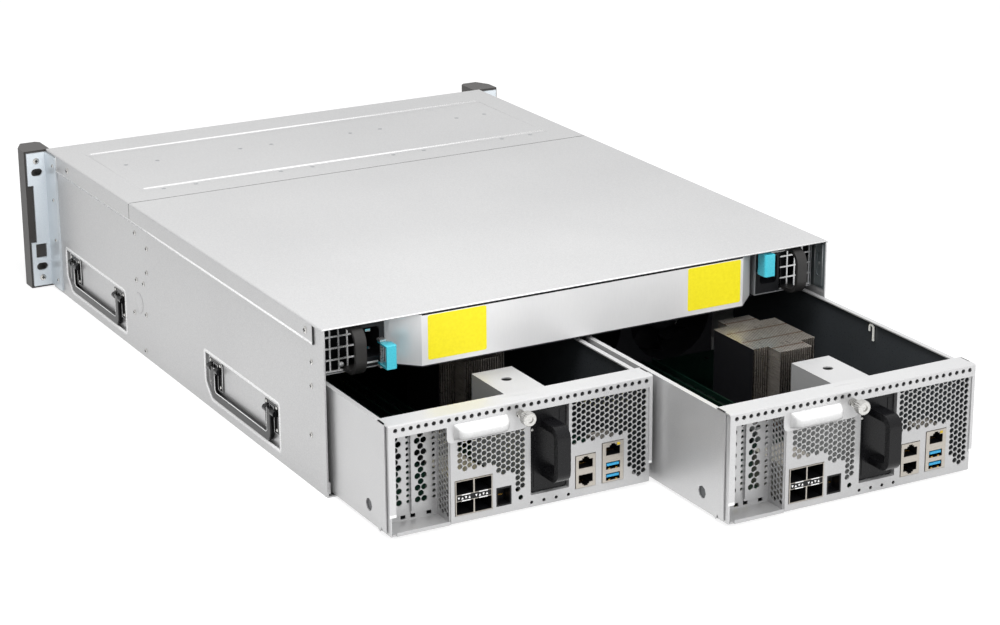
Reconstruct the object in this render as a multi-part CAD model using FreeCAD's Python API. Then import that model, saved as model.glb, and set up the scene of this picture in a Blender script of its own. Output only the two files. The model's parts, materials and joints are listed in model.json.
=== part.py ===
import FreeCAD, Part
import math
import os

Vector = FreeCAD.Vector

# Rack-mount storage server with two pull-out controllers, seen from its rear.
# Millimetres. +Z is up, +Y points to the rear, +X is the side on the left when facing the rear.
# The origin is the middle of the underside.

# Corners: sides of a small round pin or hole, steps of a bent corner, overshoot of a cut past a face
round_sides = 8
bend_steps = 3
cut_over = 1.0

# Chassis sheet metal
chassis_width = 446.0
chassis_height = 131.0
chassis_depth = 586.0
wall = 1.2
cover_sheet = 1.0
cover_flange = 16.0
front_cover_length = 204.4
cover_seam = 0.4
front_flange_setback = 26.0
rear_flange_setback = 17.0
bead_height = 1.0
bead_width = 7.0
bead_crown = 3.0
bead_side_inset = 23.0
front_bead_setback = 42.0
rear_bead_setback = 33.0

# Rack ears and their moulded caps
ear_reach = 18.3
ear_sheet = 2.0
ear_end_gap = 3.0
ear_flange_length = 25.0
slot_edge_distance = 8.75
slot_end_distance = 21.05
slot_length = 10.5
slot_width = 7.0
ear_notch_depth = 5.0
ear_notch_low = 44.0
ear_notch_high = 33.0
ear_window_width = 10.0
ear_window_height = 13.0
ear_window_rise = 14.95
cap_depth = 30.0
cap_overhang = 1.7
cap_inner_gap = 2.5
cap_end_gap = 1.0
cap_chamfer = 7.0
cap_shoulder = 14.0
cap_inner_chamfer = 3.5
cap_channel_clearance = 1.2
button_radius = 4.0
button_length = 9.0
button_proud = 1.2
button_clearance = 0.2
button_rise = 25.0

# Screws
screw_radius = 1.45
screw_hole_clearance = 0.1
screw_head_radius = 3.0
screw_head_height = 0.8
screw_reach = 4.0
cover_screw_drop = 8.0
cover_screw_setback = 29.0
ear_screw_end = 10.5

# Folding carry handles, two on each side
recess_depth = 2.8
recess_length = 146.0
recess_low = 8.0
recess_high = 47.0
recess_corner = 12.0
rear_handle_setback = 156.0
front_handle_setback = 110.0
bail_thickness = 4.0
bail_width = 7.0
bail_half_span = 54.5
bail_bend = 9.0
bail_drop = 25.5
bail_gap = 0.3
handle_pin_radius = 1.6
handle_pin_clearance = 0.05
handle_pin_reach = 6.0
handle_pin_height = 36.0
hinge_plate_sheet = 1.0
hinge_plate_width = 26.0
hinge_plate_rise = 7.5
hinge_plate_fall = 16.5
hinge_slot_clearance = 0.6
barrel_wall = 1.0

# Drive bays at the front
drive_zone = 208.0
drive_columns = 4
drive_rows = 4
cage_side_gap = 3.6
cage_sheet = 1.2
cage_shelf = 1.0
cage_setback = 6.5
tray_clearance = 0.4
bezel_proud = 4.0
bezel_depth = 10.0
tray_rail = 2.0
tray_rail_length = 170.0
latch_pocket_depth = 3.5
latch_pocket_height = 18.0
latch_bar_depth = 2.9
latch_bar_height = 12.0
latch_end_margin = 6.0
vent_zone = 28.0
vent_slots = 2
vent_slot_pitch = 11.0
vent_end_margin = 8.0
vent_slot_width = 7.0
vent_slot_height = 20.0
drive_start = 36.0
drive_length = 147.0
drive_height = 26.1

# Midplane board
board_thickness = 2.5
board_side_gap = 2.0
board_top_gap = 2.0
drive_plug_width = 42.0
drive_plug_height = 6.0
bay_plug_length = 14.0
bay_plug_width = 60.0
bay_plug_height = 16.0
psu_plug_width = 27.0
airflow_window_width = 33.0
airflow_window_height = 92.0

# Controller bays and the partition that separates them from the power supplies
bay_wall_gap = 2.1
bay_centre_gap = 1.0
partition_sheet = 1.0
partition_clearance = 0.6
partition_edge_gap = 0.4
canister_bottom = 3.0
canister_height = 84.8
bay_inner_gap = 2.0
glide_width = 12.0
glide_clearance = 0.3
glide_inset = 40.0
keeper_thickness = 1.4
keeper_length = 13.0
keeper_height = 9.0
canister_a_out = 97.5
canister_b_out = 196.4

# Power supplies
psu_width = 54.5
psu_side_gap = 2.3
psu_floor_gap = 0.3
psu_top_gap = 0.6
psu_recess = 16.0
psu_plug_gap = 1.0
psu_grille_width = 29.0
psu_grille_margin = 1.5
psu_grille_depth = 6.0
psu_grille_bar = 1.2
psu_grille_columns = 4
psu_grille_rows = 3
inlet_width = 20.0
inlet_end_margin = 6.35
inlet_wall = 2.0
inlet_depth = 20.0
inlet_offset = 3.0
inlet_pin_length = 11.0
inlet_pin_width = 2.0
inlet_pin_height = 4.0
inlet_pin_spacing = 6.75
inlet_pin_offset = 2.0
psu_handle_width = 9.0
psu_handle_reach = 22.0
psu_handle_thickness = 3.0
psu_handle_bend = 12.0
psu_handle_offset = 30.4
psu_latch_width = 9.0
psu_latch_height = 21.0
psu_latch_reach = 17.0
psu_latch_plate = 1.5
psu_latch_pin_radius = 1.5
psu_latch_pin_clearance = 0.05
psu_latch_lug = 1.5
psu_latch_gap = 0.3

# Crossbeam between the power supplies
beam_sheet = 1.0
beam_chamfer = 20.0
beam_top_gap = 0.8
beam_bay_gap = 2.0

# Controller canister: sheet tray, rear panel and ejector lever
lever_sheet = 1.0
lever_gap = 0.4
lip_depth = 18.5
lever_flange = 9.3
lever_holes = 18
lever_hole_radius = 2.2
lever_hole_drop = 3.7
lever_end_margin = 5.4
pivot_inset = 12.0
pivot_rise = 9.0
pivot_radius = 2.0
pivot_clearance = 0.05
arm_width = 10.0
hook_reach = 4.5
hook_nose = 2.25
hook_fall = 9.4
toe_rise = 1.8
toe_notch = 2.5
grip_drop = 21.8
grip_left = 46.0
grip_right = 111.0
grip_bar_left = 51.6
grip_bar_right = 94.6
grip_bar_drop = 13.8
grip_bar_height = 11.5
grip_bar_depth = 10.0
grip_bar_slant = 3.3
thumb_from_edge = 105.1
thumb_drop = 9.3
thumb_head_radius = 5.3
thumb_head_length = 7.0
thumb_neck_length = 9.0
thumb_collar_radius = 3.2
thumb_collar_length = 3.0
thumb_shank_radius = 2.0
thumb_clearance = 0.05
case_sheet = 1.0
case_hem = 4.0
case_top_gap = 0.4
side_hole_setback = 37.0
side_hole_rise = 13.0
side_hole_radius = 4.6
panel_sheet = 1.0
panel_gap = 0.2
panel_top_drop = 3.6

# Rear panel: widths in order from the expansion-card side, each after its gap
card_zone = 49.2
card_recess = 19.0
card_frame_sheet = 1.0
card_pitch = 20.3
card_first = 14.6
card_slot_width = 14.0
card_slot_low = 11.0
card_slot_high = 4.4
blank_width = 17.0
blank_hex_radius = 4.6
blank_hex_pitch = 14.0
blank_hexes = 4
vent_pitch = 11.6
vent_hex_radius = 5.4
vent_border = 3.0
sfp_gap = 3.1
sfp_width = 30.9
sfp_height = 27.4
sfp_low = 8.6
sfp_wall = 1.2
sfp_strip = 5.4
sfp_depth = 48.0
console_gap = 2.9
console_width = 12.6
console_height = 14.8
console_low = 9.2
console_wall = 1.8
console_depth = 16.0
console_hole_depth = 10.0
battery_gap = 15.9
battery_width = 32.1
battery_low = 12.6
battery_top_gap = 0.2
lan_gap = 5.2
lan_width = 17.5
lan_height = 26.2
lan_low = 9.7
usb_gap = 5.1
usb_width = 18.9
usb_end_gap = 23.8
usb_height = 32.0
usb_low = 9.7
port_wall = 1.6
port_depth = 24.0
jack_width = 12.0
jack_height = 9.0
jack_depth = 13.0
usb_slot_height = 5.6
usb_tongue = 1.8
usb_tongue_width = 9.0
port_proud = 0.5
port_clearance = 0.3

# Battery module and its sleeve
sleeve_sheet = 1.0
sleeve_depth = 89.0
sleeve_hole_radius = 4.0
sleeve_hole_setback = 66.0
battery_clearance = 0.5
battery_face_setback = 4.0
battery_length = 82.0
battery_handle_width = 11.0
battery_handle_offset = 10.0
battery_handle_reach = 24.0
battery_handle_low = 12.0
battery_handle_height = 43.0
battery_handle_thickness = 5.5
battery_handle_bend = 9.0

# Electronics inside the canister
pcb_thickness = 1.6
pcb_rise = 3.8
pcb_side_gap = 3.0
pcb_front_gap = 24.0
pcb_rear_gap = 6.0
standoff_radius = 3.0
standoff_inset = 9.0
cpu_size = 45.0
cpu_height = 6.0
heatsink_from_edge = 137.1
heatsink_setback = 160.0
heatsink_width = 58.0
heatsink_length = 87.0
heatsink_notch_x = 13.5
heatsink_notch_y = 16.0
heatsink_base = 5.6
heatsink_top_gap = 9.8
heatsink_fins = 11
heatsink_fin = 1.0
memory_sticks = 4
memory_first = 60.0
memory_pitch = 9.5
memory_setback = 112.0
memory_length = 133.3
memory_height = 31.0
memory_thickness = 1.3
memory_socket_height = 8.0
memory_socket_width = 6.0
memory_socket_overhang = 3.5

# Fans at the inner end of the canister
fan_depth = 38.0
fan_end_gap = 2.0
fan_rim = 1.5
fan_tip_gap = 1.5
fan_gap = 9.0
fan_frame_margin = 3.0
fan_top_gap = 1.6
fan_motor_radius = 16.0
fan_motor_thickness = 3.0
fan_motor_sides = 14
fan_struts = 4
fan_strut_turn = 45.0
fan_strut_width = 4.0
fan_pin_radius = 2.0
fan_pin_clearance = 0.05
fan_hub_length = 24.0
fan_hub_gap = 0.6
fan_blades = 7
fan_blade_thickness = 1.4
fan_blade_chord = 19.0
fan_blade_root = 15.0
fan_blade_pitch = 42.0

# Places worked out from the sizes above
half_width = chassis_width / 2
side_out = half_width - cover_sheet
side_in = side_out - wall
rear = chassis_depth / 2
front = -rear
cover_low = chassis_height - cover_sheet
middle_z = chassis_height / 2
drive_end = front + drive_start + drive_length
midplane_front = front + drive_zone
midplane_rear = midplane_front + board_thickness
seam_y = front + front_cover_length

canister_top = canister_bottom + canister_height
centre_half = partition_sheet / 2 + bay_centre_gap
canister_width = side_in - bay_wall_gap - centre_half
canister_x = centre_half + canister_width / 2
canister_half = canister_width / 2
canister_depth = rear - midplane_rear - bay_plug_length - bay_inner_gap
shelf_low = canister_top + partition_clearance
shelf_top = shelf_low + partition_sheet

psu_out_x = side_in - psu_side_gap
psu_in_x = psu_out_x - psu_width
psu_low = shelf_top + psu_floor_gap
psu_high = cover_low - psu_top_gap
psu_middle_z = (psu_low + psu_high) / 2
inlet_height = psu_high - psu_low - 2 * inlet_end_margin
psu_face = rear - psu_recess
psu_back = midplane_rear + bay_plug_length + psu_plug_gap
beam_side = psu_in_x - beam_bay_gap
beam_face_half = beam_side - beam_chamfer
beam_end = midplane_rear + bay_plug_length

case_half = canister_half - lever_sheet - lever_gap
lip_height = canister_top - lever_sheet - canister_bottom - pivot_rise
lip_ahead = pivot_inset - lever_sheet - panel_gap
lip_lowest = canister_bottom + pivot_rise + math.sqrt(lip_height ** 2 - lip_ahead ** 2)
case_top = lip_lowest - case_top_gap
case_floor_top = canister_bottom + case_sheet
panel_front = -lever_sheet - panel_gap
panel_back = panel_front - panel_sheet
panel_top = case_top - panel_top_drop
pcb_low = case_floor_top + pcb_rise - case_sheet
pcb_top = pcb_low + pcb_thickness
pivot_y = -pivot_inset
pivot_z = canister_bottom + pivot_rise
fan_back = -canister_depth + fan_end_gap
fan_front = fan_back + fan_depth
fan_high = case_top - fan_top_gap
fan_z = (case_floor_top + fan_high) / 2
fan_opening = (fan_high - case_floor_top) / 2 - fan_rim
fan_radius = fan_opening - fan_tip_gap
fan_spread = 2 * fan_opening + fan_gap

port_widths = card_zone + sfp_width + console_width + battery_width + lan_width + usb_width
port_gaps = sfp_gap + console_gap + battery_gap + lan_gap + usb_gap + usb_end_gap
gap_stretch = (canister_width - port_widths) / port_gaps
sfp_left = card_zone + sfp_gap * gap_stretch
console_left = sfp_left + sfp_width + console_gap * gap_stretch
battery_left = console_left + console_width + battery_gap * gap_stretch
lan_left = battery_left + battery_width + lan_gap * gap_stretch
usb_left = lan_left + lan_width + usb_gap * gap_stretch
battery_high = canister_top - lever_flange - battery_top_gap

recess_floor = side_out - recess_depth
bail_x = recess_floor + bail_gap + bail_thickness / 2
ear_half = half_width + ear_reach
slot_x = ear_half - slot_edge_distance
slot_heights = (slot_end_distance, chassis_height - slot_end_distance)
ear_front = front - ear_sheet
cap_front = ear_front - cap_depth


def at(axis, u, v, level):
    """Point at (u, v) on the plane across an axis: (y, z) on x, (x, z) on y, (x, y) on z."""
    places = {"x": Vector(level, u, v), "y": Vector(u, level, v), "z": Vector(u, v, level)}
    return places[axis]


def rectangle(u, v):
    """Corner points of a rectangle from its low-high pairs."""
    return [(u[0], v[0]), (u[1], v[0]), (u[1], v[1]), (u[0], v[1])]


def regular(u, v, radius, sides):
    """Corner points of a regular polygon, the first one straight along u."""
    angles = [2 * math.pi * index / sides for index in range(sides)]
    return [(u + radius * math.cos(a), v + radius * math.sin(a)) for a in angles]


def hexagon(u, v, radius):
    """Corner points of a hexagon with flats above and below."""
    return regular(u, v, radius, 6)


def hole_points(u, v, radius):
    """Small many-sided hole whose flats lie on the radius, so that a pin of that radius clears them."""
    return regular(u, v, radius / math.cos(math.pi / round_sides), round_sides)


def bend(u, v, radius, first, last):
    """Points round a corner about (u, v), between two directions in degrees."""
    angles = [math.radians(first + (last - first) * index / bend_steps) for index in range(bend_steps + 1)]
    return [(u + radius * math.cos(a), v + radius * math.sin(a)) for a in angles]


def polygon_wire(axis, points, level):
    corners = [at(axis, u, v, level) for u, v in points]
    return Part.makePolygon(corners + corners[:1])


def slot_wire(axis, u, v, length, width, level):
    """Obround with its length along u."""
    reach = (length - width) / 2
    half = width / 2
    low = Part.LineSegment(at(axis, u - reach, v - half, level), at(axis, u + reach, v - half, level))
    right = Part.Arc(at(axis, u + reach, v - half, level), at(axis, u + reach + half, v, level),
                     at(axis, u + reach, v + half, level))
    high = Part.LineSegment(at(axis, u + reach, v + half, level), at(axis, u - reach, v + half, level))
    left = Part.Arc(at(axis, u - reach, v + half, level), at(axis, u - reach - half, v, level),
                    at(axis, u - reach, v - half, level))
    return Part.Wire([edge.toShape() for edge in (low, right, high, left)])


def plate(axis, points, span, holes=()):
    """Flat sheet of the given outline across an axis, with polygon holes."""
    wires = [polygon_wire(axis, outline, span[0]) for outline in (points, *holes)]
    return extrude(axis, wires, span)


def extrude(axis, wires, span):
    face = Part.makeFace(wires, "Part::FaceMakerBullseye")
    return face.extrude(at(axis, 0, 0, span[1] - span[0]))


def box(x, y, z):
    return Part.makeBox(x[1] - x[0], y[1] - y[0], z[1] - z[0], Vector(x[0], y[0], z[0]))


def rod(axis, u, v, radius, span):
    return Part.makeCylinder(radius, span[1] - span[0], at(axis, u, v, span[0]), at(axis, 0, 0, 1))


def stud(axis, u, v, radius, span):
    """Small many-sided pin whose corners lie on the radius."""
    return plate(axis, regular(u, v, radius, round_sides), span)


def bore(axis, u, v, radius, span):
    """Cutting tool for a small hole."""
    return plate(axis, hole_points(u, v, radius), span)


def fused(first, *others):
    return first.fuse(list(others)).removeSplitter()


def mirrored(shape):
    """The same piece on the other side of the middle plane."""
    return shape.mirror(Vector(0, 0, 0), Vector(1, 0, 0))


def both_sides(shape):
    return [shape, mirrored(shape)]


def centred(middle, length):
    return (middle - length / 2, middle + length / 2)


def save(name, solids):
    shape = solids[0] if len(solids) == 1 else Part.makeCompound(solids)
    shape.exportStep("parts/%s.step" % name)


# Carry-handle recesses

def handle_places():
    return {"rear": rear - rear_handle_setback, "front": front + front_handle_setback}


def recess_outline(middle, grow):
    """Side-wall recess with its front lower corner cut off."""
    y = centred(middle, recess_length + 2 * grow)
    z = (recess_low - grow, recess_high + grow)
    return [(y[0] + recess_corner, z[0]), (y[1], z[0]), (y[1], z[1]), (y[0], z[1]),
            (y[0], z[0] + recess_corner)]


def hinge_plate():
    """Inverted-U plate with two knuckles that hold the bail's pin, about a bail leg at y = 0."""
    slot_half = bail_width / 2 + hinge_slot_clearance
    knuckle = handle_pin_radius + handle_pin_clearance + barrel_wall
    half = hinge_plate_width / 2
    low = handle_pin_height - hinge_plate_fall
    high = handle_pin_height + hinge_plate_rise
    crown = handle_pin_height + bail_thickness
    outline = [(-half, low), (-slot_half, low), (-slot_half, crown), (slot_half, crown), (slot_half, low),
               (half, low), (half, high), (-half, high)]
    sheet = plate("x", outline, (recess_floor, recess_floor + hinge_plate_sheet))
    reach = slot_half + handle_pin_reach
    section = [(recess_floor, handle_pin_height - knuckle), (bail_x, handle_pin_height - knuckle),
               (bail_x + knuckle, handle_pin_height), (bail_x, handle_pin_height + knuckle),
               (recess_floor, handle_pin_height + knuckle)]
    pin_hole = hole_points(bail_x, handle_pin_height, handle_pin_radius + handle_pin_clearance)
    knuckles = [plate("y", section, span, [pin_hole]) for span in ((-reach, -slot_half), (slot_half, reach))]
    return fused(sheet, *knuckles).cut(plate("y", pin_hole, (-half, half)))


def bail_outline():
    """Bent bar seen from the side (y, z): two legs down from the pins and the grip bar between them."""
    half = bail_half_span + bail_width / 2
    inner = half - bail_width
    middle = half - bail_bend
    turn = handle_pin_height - bail_drop + bail_bend
    inside = bail_bend - bail_width
    outer_line = bend(middle, turn, bail_bend, 0, -90) + bend(-middle, turn, bail_bend, -90, -180)
    inner_line = bend(-middle, turn, inside, -180, -90) + bend(middle, turn, inside, -90, 0)
    high = handle_pin_height
    return [(half, high)] + outer_line + [(-half, high), (-inner, high)] + inner_line + [(inner, high)]


def leg_top(span):
    """Top of a leg above its pin, rounded towards the recess floor so that the bail can swing out."""
    radius = bail_thickness / 2
    inside = at("y", bail_x - radius, handle_pin_height, span[0])
    outside = at("y", bail_x + radius, handle_pin_height, span[0])
    corner = at("y", bail_x + radius, handle_pin_height + radius, span[0])
    crest = at("y", bail_x, handle_pin_height + radius, span[0])
    diagonal = radius * math.sqrt(0.5)
    shoulder = at("y", bail_x - diagonal, handle_pin_height + diagonal, span[0])
    edges = [Part.LineSegment(inside, outside), Part.LineSegment(outside, corner),
             Part.LineSegment(corner, crest), Part.Arc(crest, shoulder, inside)]
    return extrude("y", [Part.Wire([edge.toShape() for edge in edges])], span)


def carry_handle():
    """Bail folded down in its recess: the bent bar with a cross pin at each leg's top."""
    bail = plate("x", bail_outline(), centred(bail_x, bail_thickness))
    tops = []
    for side in (-bail_half_span, bail_half_span):
        tops.append(leg_top(centred(side, bail_width)))
        pin = centred(side, bail_width + 2 * handle_pin_reach)
        tops.append(stud("y", bail_x, handle_pin_height, handle_pin_radius, pin))
    return fused(bail, *tops)


# Chassis

def cover_screw_places():
    """Screw centres (y, z) on the side wall, one for each top cover."""
    height = chassis_height - cover_screw_drop
    front_y = front + front_flange_setback + cover_screw_setback
    return [(rear - cover_screw_setback, height), (front_y, height)]


def ear_screw_places():
    """Screw centres (x, z) on an ear."""
    return [(slot_x, ear_screw_end), (slot_x, chassis_height - ear_screw_end)]


def side_wall():
    hole_radius = screw_radius + screw_hole_clearance
    sheet = plate("x", rectangle((front, rear), (0, cover_low)), (side_in, side_out))
    for y, z in cover_screw_places():
        sheet = sheet.cut(bore("x", y, z, hole_radius, (side_in - cut_over, side_out + cut_over)))
    for middle in handle_places().values():
        bump = plate("x", recess_outline(middle, wall), (side_in - recess_depth, side_in + wall / 2))
        pocket = plate("x", recess_outline(middle, 0), (recess_floor, side_out + cut_over))
        sheet = sheet.fuse(bump).cut(pocket)
    return sheet.removeSplitter()


def chassis_tub():
    """Floor and side walls of one folded sheet, with pressed runners that the controllers glide on."""
    floor = box((-side_out, side_out), (front, rear), (0, wall))
    runner_y = (midplane_rear + bay_plug_length, rear)
    runner_z = (0, canister_bottom - glide_clearance)
    runners = []
    for bay in (-canister_x, canister_x):
        for side in (-1, 1):
            x = centred(bay + side * (canister_half - glide_inset), glide_width)
            runners.append(box(x, runner_y, runner_z))
    keeper = box((side_in - keeper_thickness, side_in + wall / 2), (rear - keeper_length, rear),
                 (canister_bottom, canister_bottom + keeper_height))
    return [fused(floor, *both_sides(side_wall()), *runners, *both_sides(keeper))]


def top_cover(y, flange_y, beads):
    """Flat lid whose sides fold down over the walls, with pressed stiffening beads across it."""
    lid = box((-half_width, half_width), y, (cover_low, chassis_height))
    flange = box((side_out, half_width), flange_y, (chassis_height - cover_flange, chassis_height))
    for place in cover_screw_places():
        flange = flange.cut(bore("x", *place, screw_radius + screw_hole_clearance,
                                 (side_in, half_width + cut_over)))
    ribs = []
    for middle in beads:
        base = centred(middle, bead_width)
        crown = centred(middle, bead_crown)
        section = [(base[0], cover_low), (base[1], cover_low), (base[1], chassis_height),
                   (crown[1], chassis_height + bead_height), (crown[0], chassis_height + bead_height),
                   (base[0], chassis_height)]
        reach = half_width - bead_side_inset
        ribs.append(plate("x", section, (-reach, reach)))
    return [fused(lid, *both_sides(flange), *ribs)]


def top_covers():
    front_y = (front, seam_y)
    rear_y = (seam_y + cover_seam, rear)
    beads = (front + front_bead_setback, seam_y - rear_bead_setback)
    save("top_cover_front", top_cover(front_y, (front + front_flange_setback, seam_y), beads))
    save("top_cover_rear", top_cover(rear_y, (rear_y[0], rear - rear_flange_setback), ()))


def rear_crossbeam():
    """Folded channel between the power supplies, its rear corners cut back at 45 degrees."""
    fold = rear - beam_chamfer
    outer = [(-beam_side, beam_end), (-beam_side, fold), (-beam_face_half, rear),
             (beam_face_half, rear), (beam_side, fold), (beam_side, beam_end)]
    slant = beam_sheet * math.tan(math.pi / 8)
    inner_side = beam_side - beam_sheet
    inner_face = beam_face_half - slant
    inner_rear = rear - beam_sheet
    inner = [(inner_side, beam_end), (inner_side, fold - slant), (inner_face, inner_rear),
             (-inner_face, inner_rear), (-inner_side, fold - slant), (-inner_side, beam_end)]
    return [plate("z", outer + inner, (shelf_top, cover_low - beam_top_gap))]


def bay_partition():
    """Shelf under the power supplies with the wall between the two controller bays below it."""
    edge = side_in - partition_edge_gap
    back = rear - beam_chamfer
    start = midplane_rear + bay_plug_length
    outline = [(-edge, start), (edge, start), (edge, back), (beam_side, back), (beam_face_half, rear),
               (-beam_face_half, rear), (-beam_side, back), (-edge, back)]
    shelf = plate("z", outline, (shelf_low, shelf_top))
    divider = box(centred(0, partition_sheet), (start, rear), (wall, shelf_low))
    return [fused(shelf, divider)]


def rack_ear():
    """Angle bracket at the front corner with two rack slots, a square window and a notched edge."""
    z = (ear_end_gap, chassis_height - ear_end_gap)
    notch = (ear_notch_low, chassis_height - ear_notch_high)
    notch_x = ear_half - ear_notch_depth
    outline = [(side_out, z[0]), (ear_half, z[0]), (ear_half, notch[0]), (notch_x, notch[0]),
               (notch_x, notch[1]), (ear_half, notch[1]), (ear_half, z[1]), (side_out, z[1])]
    wires = [polygon_wire("y", outline, ear_front)]
    for slot_z in slot_heights:
        wires.append(slot_wire("y", slot_x, slot_z, slot_length, slot_width, ear_front))
    for x, screw_z in ear_screw_places():
        screw_hole = hole_points(x, screw_z, screw_radius + screw_hole_clearance)
        wires.append(polygon_wire("y", screw_hole, ear_front))
    window_z = centred(slot_heights[0] + ear_window_rise, ear_window_height)
    window = rectangle(centred(slot_x, ear_window_width), window_z)
    wires.append(polygon_wire("y", window, ear_front))
    face = extrude("y", wires, (ear_front, front))
    flange = box((side_out, side_out + ear_sheet), (ear_front, front + ear_flange_length), z)
    return fused(face, flange)


def ear_cap():
    """Thick moulded cap in front of an ear, with a channel at each rack slot and screw bosses."""
    inner = side_in - cap_inner_gap
    outer = ear_half + cap_overhang
    shoulder = cap_front + cap_shoulder
    outline = [(inner, ear_front), (outer, ear_front), (outer, shoulder), (outer - cap_chamfer, cap_front),
               (inner + cap_inner_chamfer, cap_front), (inner, cap_front + cap_inner_chamfer)]
    cap = plate("z", outline, (cap_end_gap, chassis_height - cap_end_gap))
    channel_x = centred(slot_x, slot_length + 2 * cap_channel_clearance)
    for slot_z in slot_heights:
        channel_z = centred(slot_z, slot_width + 2 * cap_channel_clearance)
        cap = cap.cut(box(channel_x, (cap_front - cut_over, ear_front + cut_over), channel_z))
    pilot_y = (ear_front - screw_reach - cut_over, ear_front)
    for x, z in ear_screw_places():
        cap = cap.cut(bore("y", x, z, screw_radius + screw_hole_clearance, pilot_y))
    return cap


def power_button():
    span = (cap_front - button_proud, cap_front - button_proud + button_length)
    return [rod("y", slot_x, middle_z + button_rise, button_radius, span)]


def button_well():
    depth = button_length + button_proud
    return rod("y", slot_x, middle_z + button_rise, button_radius + button_clearance,
               (cap_front - cut_over, cap_front + depth))


def case_screws():
    """Pan-head screws that hold the covers' sides and the ear caps."""
    screws = []
    for y, z in cover_screw_places():
        head = stud("x", y, z, screw_head_radius, (half_width, half_width + screw_head_height))
        shank = stud("x", y, z, screw_radius, (half_width - screw_reach, half_width))
        screws += both_sides(fused(head, shank))
    for x, z in ear_screw_places():
        head = stud("y", x, z, screw_head_radius, (front, front + screw_head_height))
        shank = stud("y", x, z, screw_radius, (ear_front - screw_reach, front))
        screws += both_sides(fused(head, shank))
    return screws


# Drive bays

def cage_grid():
    """Column pitch and row pitch of the drive bays."""
    half = side_in - cage_side_gap
    column = (2 * half - cage_sheet) / drive_columns
    row = (cover_low - cage_shelf - wall) / drive_rows
    return half, column, row


def drive_cage():
    """Upright walls between the drive columns with a shelf under every upper drive."""
    half, column, row = cage_grid()
    y = (front + cage_setback, drive_end)
    pieces = []
    for index in range(drive_columns + 1):
        x = -half + index * column
        pieces.append(box((x, x + cage_sheet), y, (wall, wall + drive_rows * row)))
    for index in range(drive_columns):
        x = -half + index * column
        for level in range(1, drive_rows):
            z = wall + level * row
            pieces.append(box((x + cage_sheet, x + column), y, centred(z, cage_shelf)))
    return pieces


def drive_tray():
    """Tray about its own middle, bezel on the chassis front plane at y = 0: bezel, rails, latch bar and disk."""
    half, column, row = cage_grid()
    half_w = (column - cage_sheet) / 2 - tray_clearance
    half_h = (row - cage_shelf) / 2 - tray_clearance
    face = -bezel_proud
    back = face + bezel_depth
    slots = []
    for index in range(vent_slots):
        x = half_w - vent_end_margin - index * vent_slot_pitch
        slots.append(rectangle(centred(x, vent_slot_width), centred(0, vent_slot_height)))
    bezel = plate("y", rectangle((-half_w, half_w), (-half_h, half_h)), (face, back), slots)
    pocket_x = (-half_w + latch_end_margin, half_w - vent_zone - latch_end_margin)
    pocket = box(pocket_x, (face - cut_over, face + latch_pocket_depth), centred(0, latch_pocket_height))
    rail = box((half_w - tray_rail, half_w), (back, back + tray_rail_length), (-half_h, half_h - tray_rail))
    bar_x = (pocket_x[0] + tray_clearance, pocket_x[1] - tray_clearance)
    bar_y = (face + latch_pocket_depth - latch_bar_depth, face + latch_pocket_depth)
    latch = box(bar_x, bar_y, centred(0, latch_bar_height))
    disk = box((-half_w + tray_rail, half_w - tray_rail), (drive_start, drive_start + drive_length),
               (-half_h, -half_h + drive_height))
    return [bezel.cut(pocket), *both_sides(rail), latch, disk]


def drive_trays():
    half, column, row = cage_grid()
    pieces = drive_tray()
    number = 0
    for level in range(drive_rows):
        for index in range(drive_columns):
            number += 1
            x = -half + cage_sheet / 2 + (index + 0.5) * column
            z = wall + (drive_rows - level - 0.5) * row
            placed = [piece.translated(Vector(x, front, z)) for piece in pieces]
            save("drive_tray_%02d" % number, placed)


def midplane_board():
    """Board across the chassis with a plug behind each drive and plugs for both kinds of module."""
    half, column, row = cage_grid()
    edge = side_in - board_side_gap
    z = (wall, cover_low - board_top_gap)
    windows = []
    plugs = []
    plug_y = (drive_end, midplane_front)
    for index in range(drive_columns):
        x = -half + cage_sheet / 2 + (index + 0.5) * column
        for level in range(drive_rows):
            middle = wall + (level + 0.5) * row
            plugs.append(box(centred(x, drive_plug_width), plug_y, centred(middle, drive_plug_height)))
        if index < drive_columns - 1:
            gap = centred(x + column / 2, airflow_window_width)
            windows.append(rectangle(gap, centred(middle_z, airflow_window_height)))
    sheet = plate("y", rectangle((-edge, edge), z), (midplane_front, midplane_rear), windows)
    bay_y = (midplane_rear, midplane_rear + bay_plug_length)
    bay_plug_z = (case_floor_top, case_floor_top + bay_plug_height)
    for x in both_sides_of(canister_x):
        plugs.append(box(centred(x, bay_plug_width), bay_y, bay_plug_z))
    for x in both_sides_of((psu_in_x + psu_out_x) / 2):
        plugs.append(box(centred(x, psu_plug_width), bay_y, centred(psu_middle_z, bay_plug_height)))
    return [sheet] + plugs


def both_sides_of(x):
    return (-x, x)


# Power supplies

def psu_grille_span():
    return (psu_out_x - psu_grille_margin - psu_grille_width, psu_out_x - psu_grille_margin)


def inlet_span():
    x = (psu_in_x + inlet_offset, psu_in_x + inlet_offset + inlet_width)
    return x, centred(psu_middle_z, inlet_height)


def latch_pivot():
    """Place (x, y) of the upright pin that the release latch turns on."""
    return psu_in_x + psu_latch_width / 2, psu_face + psu_latch_pin_radius + barrel_wall + psu_latch_gap


def latch_heights():
    low = psu_low + psu_latch_lug + psu_latch_gap
    return (low, low + psu_latch_height - 2 * psu_latch_lug)


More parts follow.
